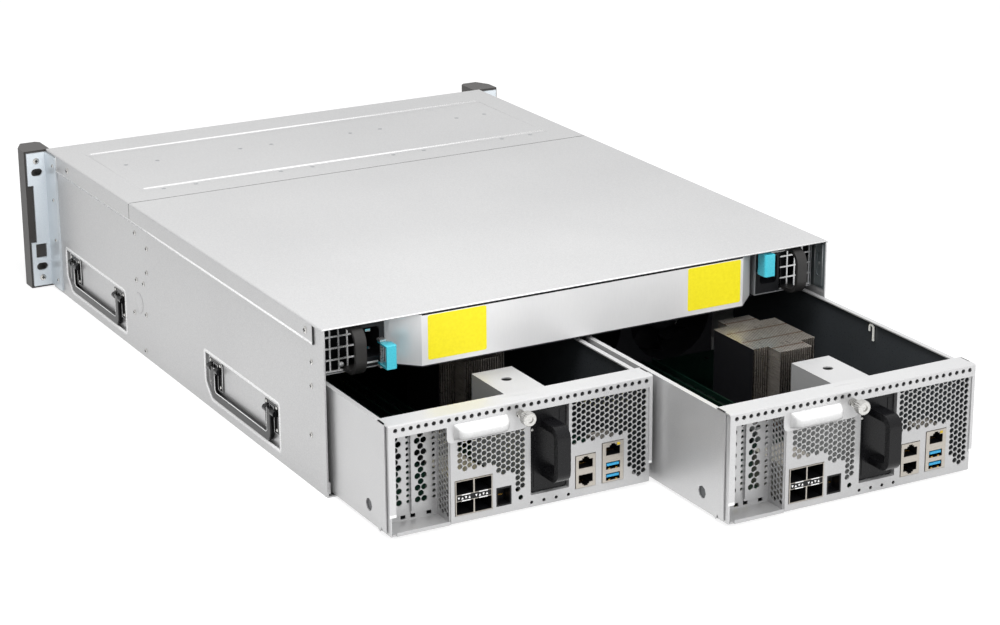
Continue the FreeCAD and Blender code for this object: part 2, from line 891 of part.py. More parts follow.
def psu_case():
    """Closed case with a barred fan opening, an inlet socket and two lugs with the latch's pin."""
    case = box((psu_in_x, psu_out_x), (psu_back, psu_face), (psu_low, psu_high))
    x = psu_grille_span()
    z = (psu_low + psu_grille_margin, psu_high - psu_grille_margin)
    cell_x = (x[1] - x[0] - psu_grille_bar) / psu_grille_columns
    cell_z = (z[1] - z[0] - psu_grille_bar) / psu_grille_rows
    cells = []
    for column in range(psu_grille_columns):
        for row in range(psu_grille_rows):
            left = x[0] + psu_grille_bar + column * cell_x
            low = z[0] + psu_grille_bar + row * cell_z
            wide = (left, left + cell_x - psu_grille_bar)
            cells.append(rectangle(wide, (low, low + cell_z - psu_grille_bar)))
    cavity = box(x, (psu_face - psu_grille_depth, psu_face), z)
    grille = plate("y", rectangle(x, z), (psu_face - psu_grille_bar, psu_face), cells)
    socket_x, socket_z = inlet_span()
    socket = box(socket_x, (psu_face - inlet_depth, psu_face + cut_over), socket_z)
    pin_x, pin_y = latch_pivot()
    low, high = latch_heights()
    lug_x = centred(pin_x, 2 * (psu_latch_pin_radius + barrel_wall))
    lug_y = (psu_face, pin_y + psu_latch_pin_radius + barrel_wall)
    lugs = [box(lug_x, lug_y, (low - psu_latch_gap - psu_latch_lug, low - psu_latch_gap)),
            box(lug_x, lug_y, (high + psu_latch_gap, high + psu_latch_gap + psu_latch_lug))]
    pin = rod("z", pin_x, pin_y, psu_latch_pin_radius, (low - psu_latch_gap, high + psu_latch_gap))
    return fused(case.cut(cavity).cut(socket), grille, *lugs, pin)


def psu_inlet():
    """Appliance inlet: an open block with three blades."""
    x, z = inlet_span()
    block = box(x, (psu_face - inlet_depth, psu_face), z)
    cavity = box((x[0] + inlet_wall, x[1] - inlet_wall),
                 (psu_face - inlet_depth + inlet_wall, psu_face + cut_over),
                 (z[0] + inlet_wall, z[1] - inlet_wall))
    start = psu_face - inlet_depth
    middle_x = (x[0] + x[1]) / 2
    blade_y = (start, start + inlet_wall + inlet_pin_length)
    blades = []
    for step, side in ((-1, -1), (0, 1), (1, -1)):
        blade_x = middle_x + side * inlet_pin_offset
        blade_z = psu_middle_z + step * inlet_pin_spacing
        blades.append(box(centred(blade_x, inlet_pin_height), blade_y, centred(blade_z, inlet_pin_width)))
    return fused(block.cut(cavity), *blades)


def strap_section(start, reach, z, thickness, radius):
    """D-shaped strap seen from the side (y, z): legs out from y = start into rounded corners and a bar.
    The corners leave the bar a straight run at least as long as the strap is thick."""
    radius = min(radius, (z[1] - z[0] - thickness) / 2)
    middle = start + reach - radius
    low = z[0] + radius
    high = z[1] - radius
    inside = radius - thickness
    outer_line = bend(middle, low, radius, -90, 0) + bend(middle, high, radius, 0, 90)
    inner_line = bend(middle, high, inside, 90, 0) + bend(middle, low, inside, 0, -90)
    return ([(start, z[0])] + outer_line + [(start, z[1]), (start, z[1] - thickness)] + inner_line
            + [(start, z[0] + thickness)])


def psu_handle():
    x = centred(psu_in_x + psu_handle_offset, psu_handle_width)
    z = (psu_low + psu_handle_thickness / 2, psu_high - psu_handle_thickness / 2)
    section = strap_section(psu_face, psu_handle_reach, z, psu_handle_thickness, psu_handle_bend)
    return plate("x", section, x)


def psu_latch():
    """Release latch: a push plate and a side plate on two arms that turn on the upright pin."""
    pin_x, pin_y = latch_pivot()
    low, high = latch_heights()
    radius = psu_latch_pin_radius + barrel_wall
    outer = psu_face + psu_latch_reach
    left = pin_x - psu_latch_width / 2 - psu_latch_plate
    right = left + psu_latch_width
    clear = pin_y + radius + barrel_wall
    arm = [(pin_x - radius, pin_y), (pin_x + radius, pin_y), (right, clear), (right, outer),
           (left, outer), (left, clear)]
    pin_hole = bore("z", pin_x, pin_y, psu_latch_pin_radius + psu_latch_pin_clearance,
                    (low - cut_over, high + cut_over))
    arms = []
    for z in ((low, low + psu_latch_plate), (high - psu_latch_plate, high)):
        arms.append(plate("z", arm, z))
        arms.append(stud("z", pin_x, pin_y, radius, z))
    push = box((left, right), (outer - psu_latch_plate, outer), (low, high))
    side = box((left, left + psu_latch_plate), (clear, outer), (low, high))
    return fused(push, side, *arms).cut(pin_hole)


def power_supplies():
    """Two equal units: the second lies upside down on the other side."""
    pieces = {"case": [psu_case(), psu_inlet()], "handle": [psu_handle()], "latch": [psu_latch()]}
    for name, solids in pieces.items():
        save("psu_a_" + name, solids)
        turned = [s.rotated(Vector(0, 0, psu_middle_z), Vector(0, 1, 0), 180) for s in solids]
        save("psu_b_" + name, turned)


# Controller canister, about its own middle, with the lever's face at y = 0

def from_edge(distance):
    """Local x of a place measured from the edge on the expansion-card side."""
    return canister_half - distance


def panel_span(left, width):
    return (from_edge(left + width), from_edge(left))


def canister_case():
    """Open sheet tray with folded top hems, pivot pins for the lever and posts for the board."""
    y = (-canister_depth, panel_back)
    floor = box((-case_half, case_half), y, (canister_bottom, case_floor_top))
    side = box((case_half - case_sheet, case_half), y, (canister_bottom, case_top))
    hem_y = (fan_front, panel_back - card_recess - card_frame_sheet)
    hem = box((case_half - case_hem, case_half), hem_y, (case_top - case_sheet, case_top))
    hole = bore("x", -side_hole_setback, canister_bottom + side_hole_rise, side_hole_radius,
                (case_half - case_hem, case_half + cut_over))
    pin = rod("x", pivot_y, pivot_z, pivot_radius, (case_half - case_sheet, canister_half))
    posts = []
    for x, post_y in board_posts():
        posts.append(plate("z", hexagon(x, post_y, standoff_radius), (canister_bottom, pcb_low)))
    return fused(floor, side.cut(hole), mirrored(side), *both_sides(hem), *both_sides(pin), *posts)


def board_span():
    y = (fan_front + pcb_rear_gap, panel_back - pcb_front_gap)
    return (-case_half + pcb_side_gap, case_half - pcb_side_gap), y


def board_posts():
    x, y = board_span()
    return [(px, py) for px in (x[0] + standoff_inset, x[1] - standoff_inset)
            for py in (y[0] + standoff_inset, y[1] - standoff_inset)]


def port_openings():
    """Outlines (x, z) of everything that comes through the rear panel."""
    return {"sfp": (panel_span(sfp_left, sfp_width), (sfp_low, sfp_low + sfp_height)),
            "console": (panel_span(console_left, console_width), (console_low, console_low + console_height)),
            "lan": (panel_span(lan_left, lan_width), (lan_low, lan_low + lan_height)),
            "usb": (panel_span(usb_left, usb_width), (usb_low, usb_low + usb_height))}


def battery_opening():
    return panel_span(battery_left, battery_width), (battery_low, battery_high)


def honeycomb(window, blocked):
    """Staggered hexagons in a window (x, z), leaving out those that would touch a blocked rectangle."""
    cells = []
    wide = window[0][1] - window[0][0]
    tall = window[1][1] - window[1][0]
    column_pitch = vent_pitch * math.sqrt(3) / 2
    reach = vent_hex_radius + vent_border / 2
    columns = int((wide - 2 * vent_hex_radius) / column_pitch) + 1
    rows = int((tall - 2 * vent_hex_radius) / vent_pitch) + 1
    for column in range(columns):
        u = window[0][1] - vent_hex_radius - column * column_pitch
        for row in range(rows):
            v = window[1][1] - vent_hex_radius - (row + 0.5 * (column % 2)) * vent_pitch
            near = [(x, z) for x, z in blocked
                    if x[0] - reach < u < x[1] + reach and z[0] - reach < v < z[1] + reach]
            if v - vent_hex_radius > window[1][0] and not near:
                cells.append(hexagon(u, v, vent_hex_radius))
    return cells


def rear_panel():
    """Main sheet of the controller's rear, with a honeycomb vent on each side of the battery opening."""
    left = from_edge(card_zone)
    z = (case_floor_top, panel_top)
    vent_z = (z[0] + 2 * vent_border, canister_top - lever_flange - vent_border / 2)
    ports = list(port_openings().values())
    battery = battery_opening()
    holes = []
    for x, height in ports:
        grown_x = (x[0] - port_clearance, x[1] + port_clearance)
        holes.append(rectangle(grown_x, (height[0] - port_clearance, height[1] + port_clearance)))
    holes.append(rectangle(*battery))
    first = (battery[0][1] + vent_border, left - vent_border)
    second = (-case_half + vent_border, battery[0][0] - vent_border)
    for vent_x in (first, second):
        holes += honeycomb((vent_x, vent_z), ports)
    return plate("y", rectangle((-case_half, left), z), (panel_back, panel_front), holes)


def card_places():
    return [from_edge(card_first + index * card_pitch) for index in range(2)]


def card_frame():
    """Set-back frame behind which the expansion cards stand, with its side wall and ledge."""
    left = case_half - case_sheet
    right = from_edge(card_zone)
    z = (case_floor_top, panel_top)
    back = panel_back - card_recess
    slot_z = (z[0] + card_slot_low, z[1] - card_slot_high)
    slots = [rectangle(centred(x, card_slot_width), slot_z) for x in card_places()]
    sheet = plate("y", rectangle((right, left), z), (back - card_frame_sheet, back), slots)
    side = box((right, right + card_frame_sheet), (back, panel_back), z)
    ledge = box((right, left), (back, panel_front), (z[0], z[0] + card_frame_sheet))
    return fused(sheet, side, ledge)


def card_blanks():
    """Blanking brackets that close the two card slots, each with a row of hexagonal vents."""
    back = panel_back - card_recess
    z = (case_floor_top + card_slot_low / 2, panel_top - card_slot_high / 2)
    first = (z[0] + z[1] - blank_hex_pitch * (blank_hexes - 1)) / 2
    heights = [first + index * blank_hex_pitch for index in range(blank_hexes)]
    blanks = []
    for x in card_places():
        outline = rectangle(centred(x, blank_width), z)
        vents = [hexagon(x, height, blank_hex_radius) for height in heights]
        blanks.append(plate("y", outline, (back, back + card_frame_sheet), vents))
    return blanks


def battery_sleeve():
    """Four-sided sleeve behind the battery opening, with a finger hole in its top."""
    x, z = battery_opening()
    y = (-sleeve_depth, panel_back)
    outer = rectangle((x[0] - sleeve_sheet, x[1] + sleeve_sheet), (z[0] - sleeve_sheet, z[1] + sleeve_sheet))
    sleeve = plate("y", outer, y, [rectangle(x, z)])
    hole_z = (z[1] - cut_over, z[1] + sleeve_sheet + cut_over)
    hole = bore("z", (x[0] + x[1]) / 2, -sleeve_hole_setback, sleeve_hole_radius, hole_z)
    return sleeve.cut(hole)


def battery_module():
    """Slide-in battery pack with a D-shaped pull."""
    x, z = battery_opening()
    body_x = (x[0] + battery_clearance, x[1] - battery_clearance)
    body_z = (z[0] + battery_clearance, z[1] - battery_clearance)
    face = -battery_face_setback
    body = box(body_x, (face - battery_length, face), body_z)
    handle_x = (body_x[1] - battery_handle_offset - battery_handle_width, body_x[1] - battery_handle_offset)
    handle_low = body_z[0] + battery_handle_low
    section = strap_section(face, battery_handle_reach, (handle_low, handle_low + battery_handle_height),
                            battery_handle_thickness, battery_handle_bend)
    return fused(body, plate("x", section, handle_x))


def lever_arm():
    """Side arm of the lever (x side +), from the lip down to its pivot and the hook below."""
    back = pivot_y - arm_width / 2
    ahead = pivot_y + arm_width / 2
    low = pivot_z - hook_fall
    outline = [(ahead, canister_top), (back, canister_top), (back, pivot_z + arm_width / 2),
               (back - hook_reach, pivot_z), (back - hook_reach, low + hook_nose), (back, low),
               (pivot_y - toe_notch, pivot_z - arm_width / 2), (pivot_y, low + toe_rise),
               (ahead, low + toe_rise)]
    pivot_hole = hole_points(pivot_y, pivot_z, pivot_radius + pivot_clearance)
    return plate("x", outline, (canister_half - lever_sheet, canister_half), [pivot_hole])


def lever_grip():
    """Half-round pull bar on the lever's front: a rounded section cut to a plan with slanted ends."""
    x = (from_edge(grip_bar_right), from_edge(grip_bar_left))
    z = centred(canister_top - grip_bar_drop, grip_bar_height)
    plan = [(x[0], 0), (x[1], 0), (x[1] - grip_bar_slant, grip_bar_depth),
            (x[0] + grip_bar_slant, grip_bar_depth)]
    radius = grip_bar_height / 2
    shoulder = grip_bar_depth - radius
    middle = canister_top - grip_bar_drop
    crown = bend(shoulder, middle, radius, -90, 0) + bend(shoulder, middle, radius, 0, 90)[1:]
    bar = plate("x", [(0, z[0])] + crown + [(0, z[1])], x)
    return bar.common(plate("z", plan, z))


def thumb_place():
    return from_edge(thumb_from_edge), canister_top - thumb_drop


def ejector_lever():
    """Full-width lever: top lip, perforated front flange with the pull bar, and an arm on each side."""
    lip = box((-canister_half, canister_half), (-lip_depth, 0), (canister_top - lever_sheet, canister_top))
    low = canister_top - lever_flange
    grip_low = canister_top - grip_drop
    grip_x = (from_edge(grip_right), from_edge(grip_left))
    thumb_x, thumb_z = thumb_place()
    outline = [(-canister_half, low), (grip_x[0], low), (grip_x[0], grip_low), (grip_x[1], grip_low),
               (grip_x[1], low), (canister_half, low), (canister_half, canister_top),
               (-canister_half, canister_top)]
    pitch = (canister_width - 2 * lever_end_margin) / (lever_holes - 1)
    holes = []
    for index in range(lever_holes):
        x = from_edge(lever_end_margin + index * pitch)
        holes.append(hexagon(x, canister_top - lever_hole_drop, lever_hole_radius))
    holes.append(hole_points(thumb_x, thumb_z, thumb_shank_radius + thumb_clearance))
    flange = plate("y", outline, (-lever_sheet, 0), holes)
    return fused(lip, flange, lever_grip(), *both_sides(lever_arm()))


def thumbscrew():
    """Captive screw stood out by its spring, free to turn in the lever's flange."""
    x, z = thumb_place()
    head_y = (thumb_neck_length, thumb_neck_length + thumb_head_length)
    shank = stud("y", x, z, thumb_shank_radius, (-lever_sheet, thumb_neck_length))
    collar = stud("y", x, z, thumb_collar_radius, (lever_gap, lever_gap + thumb_collar_length))
    head = rod("y", x, z, thumb_head_radius, head_y)
    return fused(shank, collar, head)


# Electronics

def socket_block(opening, depth, cavities, tongues=()):
    """Connector shell behind the panel with sockets open to the rear, each (x, z, depth)."""
    x, z = opening
    mouth = panel_front + port_proud
    block = box(x, (mouth - depth, mouth), z)
    for cavity_x, cavity_z, cavity_depth in cavities:
        block = block.cut(box(cavity_x, (mouth - cavity_depth, mouth + cut_over), cavity_z))
    return fused(block, *tongues) if tongues else block


def ports():
    places = port_openings()
    x, z = places["sfp"]
    cell_w = (x[1] - x[0] - 3 * sfp_wall) / 2
    cell_h = (z[1] - z[0] - 2 * sfp_wall - sfp_strip) / 2
    cells = []
    for left in (x[0] + sfp_wall, x[0] + 2 * sfp_wall + cell_w):
        for low in (z[0] + sfp_wall, z[0] + sfp_wall + cell_h + sfp_strip):
            cells.append(((left, left + cell_w), (low, low + cell_h), sfp_depth - sfp_wall))
    sfp = socket_block(places["sfp"], sfp_depth, cells)
    x, z = places["console"]
    hole_x = (x[0] + console_wall, x[1] - console_wall)
    hole_z = (z[0] + console_wall, z[1] - console_wall)
    console = socket_block(places["console"], console_depth, [(hole_x, hole_z, console_hole_depth)])
    x, z = places["lan"]
    middle = (x[0] + x[1]) / 2
    jacks = []
    for low in (z[0] + port_wall, z[1] - port_wall - jack_height):
        jacks.append((centred(middle, jack_width), (low, low + jack_height), jack_depth))
    lan = socket_block(places["lan"], port_depth, jacks)
    x, z = places["usb"]
    middle = (x[0] + x[1]) / 2
    top = z[1] - port_wall - jack_height
    mixed = [(centred(middle, jack_width), (top, top + jack_height), jack_depth)]
    tongues = []
    tongue_x = centred(middle, usb_tongue_width)
    tongue_y = (panel_front + port_proud - jack_depth, panel_front)
    for index in range(2):
        low = z[0] + port_wall + index * (usb_slot_height + 2 * port_wall)
        high = low + usb_slot_height
        mixed.append((centred(middle, jack_width), (low, high), jack_depth))
        tongues.append(box(tongue_x, tongue_y, (high - 2 * usb_tongue, high - usb_tongue)))
    usb = socket_block(places["usb"], port_depth, mixed, tongues)
    return [sfp, console, lan, usb]


def heatsink_place():
    return from_edge(heatsink_from_edge), -heatsink_setback


def mainboard():
    """Board with its rear connectors, the processor and the memory sticks in their sockets."""
    x, y = board_span()
    board = box(x, y, (pcb_low, pcb_top))
    tongue_x = (from_edge(usb_left + usb_width), from_edge(sfp_left))
    under = box(tongue_x, (y[1], panel_back - port_wall), (pcb_low, min(pcb_top, sfp_low)))
    cpu_x, cpu_y = heatsink_place()
    cpu = box(centred(cpu_x, cpu_size), centred(cpu_y, cpu_size), (pcb_top, pcb_top + cpu_height))
    pieces = [fused(board, under), cpu] + ports()
    for index in range(memory_sticks):
        stick_x = from_edge(memory_first + index * memory_pitch)
        stick_y = (-memory_setback - memory_length, -memory_setback)
        socket_y = (stick_y[0] - memory_socket_overhang, stick_y[1] + memory_socket_overhang)
        socket_top = pcb_top + memory_socket_height
        pieces.append(box(centred(stick_x, memory_socket_width), socket_y, (pcb_top, socket_top)))
        pieces.append(box(centred(stick_x, memory_thickness), stick_y,
                          (socket_top, pcb_top + memory_height)))
    return pieces


def heatsink():
    """Fin stack on a base plate, its corners notched for the mounting screws; fins run front to rear."""
    x, y = heatsink_place()
    base_z = (pcb_top + cpu_height, pcb_top + cpu_height + heatsink_base)
    top = canister_top - heatsink_top_gap
    long_x = centred(x, heatsink_width - 2 * heatsink_notch_x)
    wide_x = centred(x, heatsink_width)
    long_y = centred(y, heatsink_length)
    wide_y = centred(y, heatsink_length - 2 * heatsink_notch_y)
    base = fused(box(long_x, long_y, base_z), box(wide_x, wide_y, base_z))
    pitch = (heatsink_width - heatsink_fin) / (heatsink_fins - 1)
    fins = []
    for index in range(heatsink_fins):
        fin_x = centred(wide_x[0] + heatsink_fin / 2 + index * pitch, heatsink_fin)
        inside = long_x[0] <= fin_x[0] and fin_x[1] <= long_x[1]
        fins.append(box(fin_x, long_y if inside else wide_y, (base_z[1], top)))
    return fused(base, *fins)


def fan_places():
    return both_sides_of(fan_spread / 2)


def fan_bank():
    """Frame with two round openings, each with struts to a motor plate and its shaft."""
    half = fan_spread / 2 + fan_opening + fan_frame_margin
    y = (fan_back, fan_front)
    frame = box((-half, half), y, (case_floor_top, fan_high))
    plate_y = (y[0], y[0] + fan_motor_thickness)
    shaft_y = (y[0], plate_y[1] + fan_hub_length)
    details = []
    for x in fan_places():
        frame = frame.cut(rod("y", x, fan_z, fan_opening, (y[0] - cut_over, y[1] + cut_over)))
        motor = plate("y", regular(x, fan_z, fan_motor_radius, fan_motor_sides), plate_y)
        shaft = stud("y", x, fan_z, fan_pin_radius, shaft_y)
        strut = box(centred(x, 2 * fan_opening + fan_rim), plate_y, centred(fan_z, fan_strut_width))
        turns = [fan_strut_turn + 360 * index / fan_struts for index in range(fan_struts // 2)]
        struts = [strut.rotated(Vector(x, 0, fan_z), Vector(0, 1, 0), turn) for turn in turns]
        details += [motor, shaft] + struts
    return fused(frame, *details)


def fan_blade(middle):
    """Flat pitched blade that points up from the hub's axis and widens to its tip."""
    pitch = math.radians(fan_blade_pitch)
    half_tip = (fan_blade_chord * math.cos(pitch) + fan_blade_thickness * math.sin(pitch)) / 2
    tip = math.sqrt(fan_radius ** 2 - half_tip ** 2)
    root = fan_motor_radius / 2
    outline = [(-fan_blade_root / 2, root), (fan_blade_root / 2, root), (fan_blade_chord / 2, tip),
               (-fan_blade_chord / 2, tip)]
    blade = plate("y", outline, centred(0, fan_blade_thickness))
    return blade.rotated(Vector(0, 0, 0), Vector(0, 0, 1), fan_blade_pitch).translated(Vector(0, middle, 0))


def fan_rotor(x):
    """Hub on the fan's shaft with pitched blades."""
    start = fan_back + fan_motor_thickness + fan_hub_gap
    hub_y = (start, start + fan_hub_length)
    blade = fan_blade((hub_y[0] + hub_y[1]) / 2)
    turns = [360 * index / fan_blades for index in range(fan_blades)]
    blades = [blade.rotated(Vector(0, 0, 0), Vector(0, 1, 0), turn) for turn in turns]
    facets = [(v, u) for u, v in regular(0, 0, fan_motor_radius, fan_blades)]
    hub = plate("y", facets, hub_y)
    shaft_hole = bore("y", 0, 0, fan_pin_radius + fan_pin_clearance,
                      (hub_y[0] - cut_over, hub_y[1] + cut_over))
    return fused(hub, *blades).cut(shaft_hole).translated(Vector(x, 0, fan_z))


def controllers():
    """The same canister in both bays, each drawn out by its own distance."""
    fans = fan_places()
    pieces = {"case": [canister_case()],
              "rear_panel": [rear_panel(), card_frame(), *card_blanks(), battery_sleeve()],
              "lever": [ejector_lever()], "thumbscrew": [thumbscrew()], "mainboard": mainboard(),
              "heatsink": [heatsink()], "battery": [battery_module()], "fan_bank": [fan_bank()],
              "fan_rotor_1": [fan_rotor(fans[0])], "fan_rotor_2": [fan_rotor(fans[1])]}
    places = {"a": Vector(canister_x, rear + canister_a_out, 0),
              "b": Vector(-canister_x, rear + canister_b_out, 0)}
    for bay, place in places.items():
        for name, solids in pieces.items():
            save("controller_%s_%s" % (bay, name), [s.translated(place) for s in solids])


def chassis():
    save("chassis_tub", chassis_tub())
    top_covers()
    save("rear_crossbeam", rear_crossbeam())
    save("bay_partition", bay_partition())
    ear = rack_ear()
    save("rack_ear_right", [ear])
    save("rack_ear_left", [mirrored(ear)])
    cap = ear_cap()
    save("ear_cap_right", [cap.cut(button_well())])
    save("ear_cap_left", [mirrored(cap)])
    save("power_button", power_button())
    save("case_screws", case_screws())
    save("drive_cage", drive_cage())
    save("midplane_board", midplane_board())


def handles():
    plates = []
    for name, middle in handle_places().items():
        bail = carry_handle().translated(Vector(0, middle, 0))
        save("carry_handle_right_" + name, [bail])
        save("carry_handle_left_" + name, [mirrored(bail)])
        for side in (-bail_half_span, bail_half_span):
            plates += both_sides(hinge_plate().translated(Vector(0, middle + side, 0)))
    save("handle_plates", plates)


os.makedirs("parts", exist_ok=True)
chassis()
handles()
drive_trays()
power_supplies()
controllers()
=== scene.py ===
import json
import math

import bpy
import numpy as np
from mathutils import Matrix, Vector


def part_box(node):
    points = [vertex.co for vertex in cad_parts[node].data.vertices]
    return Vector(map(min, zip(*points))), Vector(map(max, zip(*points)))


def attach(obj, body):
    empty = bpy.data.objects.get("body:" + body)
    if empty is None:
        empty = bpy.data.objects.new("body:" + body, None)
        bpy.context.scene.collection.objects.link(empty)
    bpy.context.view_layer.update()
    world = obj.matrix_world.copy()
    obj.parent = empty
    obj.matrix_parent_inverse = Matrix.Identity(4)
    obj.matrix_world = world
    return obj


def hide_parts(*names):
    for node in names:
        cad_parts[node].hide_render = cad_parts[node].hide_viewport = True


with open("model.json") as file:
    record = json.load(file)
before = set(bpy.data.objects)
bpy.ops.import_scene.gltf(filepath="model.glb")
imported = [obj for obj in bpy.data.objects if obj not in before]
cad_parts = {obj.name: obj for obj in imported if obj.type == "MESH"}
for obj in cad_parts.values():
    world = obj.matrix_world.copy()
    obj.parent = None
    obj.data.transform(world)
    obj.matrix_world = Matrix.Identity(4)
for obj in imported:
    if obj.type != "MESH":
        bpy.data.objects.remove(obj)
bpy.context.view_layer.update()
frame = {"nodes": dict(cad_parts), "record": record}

# Sizes below are millimetres; meshes are made in metres.
MM = 0.001


def node_box(name):
    """Low and high corner of a node in millimetres."""
    low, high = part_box(name)
    return np.array(low) / MM, np.array(high) / MM


# Places read from the frame
tub_low, tub_high = node_box("chassis_tub")
front_cover_low, front_cover_high = node_box("top_cover_front")
rear_cover_low, rear_cover_high = node_box("top_cover_rear")
beam_top = node_box("rear_crossbeam")[1][2]
beam_half = 141.5
side_out = tub_high[0]
front_y, rear_y = tub_low[1], tub_high[1]
half_width = rear_cover_high[0]
cover_top = rear_cover_high[2]
skirt_low = rear_cover_low[2]
seam_y = rear_cover_low[1]

# Controller sheet metal
case_low, case_high = node_box("controller_a_case")
panel_top = node_box("controller_a_rear_panel")[1][2]
canister_top = node_box("controller_a_lever")[1][2]
canister_half = (case_high[0] - case_low[0]) / 2
case_top = case_high[2]
case_sheet = 1.0
lever_sheet = 1.0
arm_gap = 0.4
case_half = canister_half - lever_sheet - arm_gap
inner_half = case_half - case_sheet
panel_front = -1.2
panel_back = panel_front - 1.0
panel_floor = case_low[2] + case_sheet
card_edge = canister_half - 49.2
card_back = panel_back - 19.0
card_wall = 1.0
lip_depth = 18.5
flange_low = canister_top - 9.3
edge_margin = 5.4


# Outlines and spans

def quarter(radius, steps=4):
    """Quarter circle: radius (cos a, sin a) over a right angle."""
    turn = np.linspace(0, math.pi / 2, steps + 1)
    return radius * np.column_stack([np.cos(turn), np.sin(turn)])


def rounded(u, v, radius=0.0):
    """Rectangle from low-high pairs with quarter-circle corners."""
    if radius <= 0:
        return np.array([(u[0], v[0]), (u[1], v[0]), (u[1], v[1]), (u[0], v[1])], float)
    arc = quarter(radius)
    spin = np.array([[0.0, -1.0], [1.0, 0.0]])
    centres = [(u[1] - radius, v[1] - radius), (u[0] + radius, v[1] - radius),
               (u[0] + radius, v[0] + radius), (u[1] - radius, v[0] + radius)]
    return np.vstack([arc @ np.linalg.matrix_power(spin, k).T + np.array(centre)
                      for k, centre in enumerate(centres)])


def ring(u, v, radius, sides=16):
    """Points evenly round a circle."""
    turn = np.arange(sides) * 2 * math.pi / sides
    return np.column_stack([u + radius * np.cos(turn), v + radius * np.sin(turn)])


# Half the angle that the cut takes at each corner of a hexagon, in radians
HEXAGON_CUT = 0.22


def soft_hexagon(u, v, radius, start=0.0):
    """Hexagon with each corner cut: two points close to every corner direction."""
    corner = start + np.repeat(np.arange(6) * math.pi / 3, 2)
    corner = corner + np.tile([-HEXAGON_CUT, HEXAGON_CUT], 6)
    return np.column_stack([u + radius * np.cos(corner), v + radius * np.sin(corner)])


def centred(middle, length):
    """Low-high pair of a length about its middle."""
    return (middle - length / 2, middle + length / 2)


def inset(span, by):
    """Low-high pair drawn in at both ends."""
    return (span[0] + by, span[1] - by)


def wide(half):
    """Low-high pair about nought."""
    return (-half, half)


# Meshes: a part is an array of points in millimetres with a list of faces

AXES = {"x": np.array([[0, 0, 1], [1, 0, 0], [0, 1, 0]], float),
        "y": np.array([[1, 0, 0], [0, 0, -1], [0, 1, 0]], float),
        "z": np.eye(3)}
FACING = {"+x": [[0, 1, 0], [-1, 0, 0], [0, 0, 1]], "-x": [[0, -1, 0], [1, 0, 0], [0, 0, 1]],
          "+y": [[1, 0, 0], [0, 1, 0], [0, 0, 1]], "-y": [[-1, 0, 0], [0, -1, 0], [0, 0, 1]],
          "+z": [[1, 0, 0], [0, 0, -1], [0, 1, 0]]}


def filled(loops, thickness):
    """Flat sheet about w = 0: the first loop filled up to the other loops, with its walls."""
    curve = bpy.data.curves.new("flat", "CURVE")
    curve.dimensions = "2D"
    curve.fill_mode = "BOTH"
    curve.extrude = thickness / 2
    for loop in loops:
        spline = curve.splines.new("POLY")
        spline.points.add(len(loop) - 1)
        flat = np.column_stack([loop, np.tile([0.0, 1.0], (len(loop), 1))])
        spline.points.foreach_set("co", flat.ravel())
        spline.use_cyclic_u = True
    holder = bpy.data.objects.new("flat", curve)
    bpy.context.scene.collection.objects.link(holder)
    graph = bpy.context.evaluated_depsgraph_get()
    mesh = bpy.data.meshes.new_from_object(holder.evaluated_get(graph))
    points = np.zeros(len(mesh.vertices) * 3)
    mesh.vertices.foreach_get("co", points)
    faces = [list(p.vertices) for p in mesh.polygons]
    bpy.data.objects.remove(holder)
    bpy.data.curves.remove(curve)
    bpy.data.meshes.remove(mesh)
    return points.reshape(-1, 3), faces


def sheet(axis, outline, holes, span):
    """Sheet across an axis: its loops are (y, z) on x, (x, z) on y, (x, y) on z."""
    points, faces = filled([outline, *holes], abs(span[1] - span[0]))
    middle = (span[0] + span[1]) / 2
    level = -middle if axis == "y" else middle
    return (points + np.array([0.0, 0.0, level])) @ AXES[axis].T, faces


def joined(parts):
    """One part from several."""
    starts = np.cumsum([0] + [len(points) for points, _ in parts]).tolist()
    faces = [[i + start for i in face] for (_, part), start in zip(parts, starts)
             for face in part]
    return np.vstack([points for points, _ in parts]), faces


def grid_faces(rows, columns, around=False):
    """Quads of a grid of rows by columns; around closes the columns into a loop."""
    last = columns if around else columns - 1
    r, c = np.meshgrid(np.arange(rows - 1), np.arange(last), indexing="ij")
    n = (c + 1) % columns
    corners = [r * columns + c, r * columns + n, (r + 1) * columns + n, (r + 1) * columns + c]
    return np.stack(corners, -1).reshape(-1, 4)


def block(x, y, z):
    """Box from low-high pairs, or a box for each number where the pairs hold arrays."""
    ends = np.stack(np.broadcast_arrays(*x, *y, *z), -1).reshape(-1, 1, 6)
    low, high = ends[..., 0::2], ends[..., 1::2]
    pick = np.array([(a, b, c) for c in (0, 1) for b in (0, 1) for a in (0, 1)])
    quads = np.array([[0, 2, 3, 1], [4, 5, 7, 6], [0, 1, 5, 4],
                      [2, 6, 7, 3], [0, 4, 6, 2], [1, 3, 7, 5]])
    faces = quads + len(pick) * np.arange(len(ends))[:, None, None]
    return (low + pick * (high - low)).reshape(-1, 3), faces.reshape(-1, 4).tolist()


def turned(radii, steps, sides=32, wave=None):
    """Solid of revolution about +Y: radius against distance along the axis, closed at both ends.
    The surface is (r cos a, t, r sin a); wave, if given, scales r by a function of the angle a."""
    turn = np.arange(sides) * 2 * math.pi / sides
    scale = np.ones(sides) if wave is None else wave(turn)
    radii = np.asarray(radii, float)[:, None] * scale[None, :]
    steps = np.repeat(np.asarray(steps, float)[:, None], sides, 1)
    points = np.stack([radii * np.cos(turn), steps, radii * np.sin(turn)], -1).reshape(-1, 3)
    faces = grid_faces(len(radii), sides, around=True)[:, ::-1].tolist()
    index = np.arange(len(points)).reshape(-1, sides)
    return points, faces + [index[0].tolist(), index[-1, ::-1].tolist()]


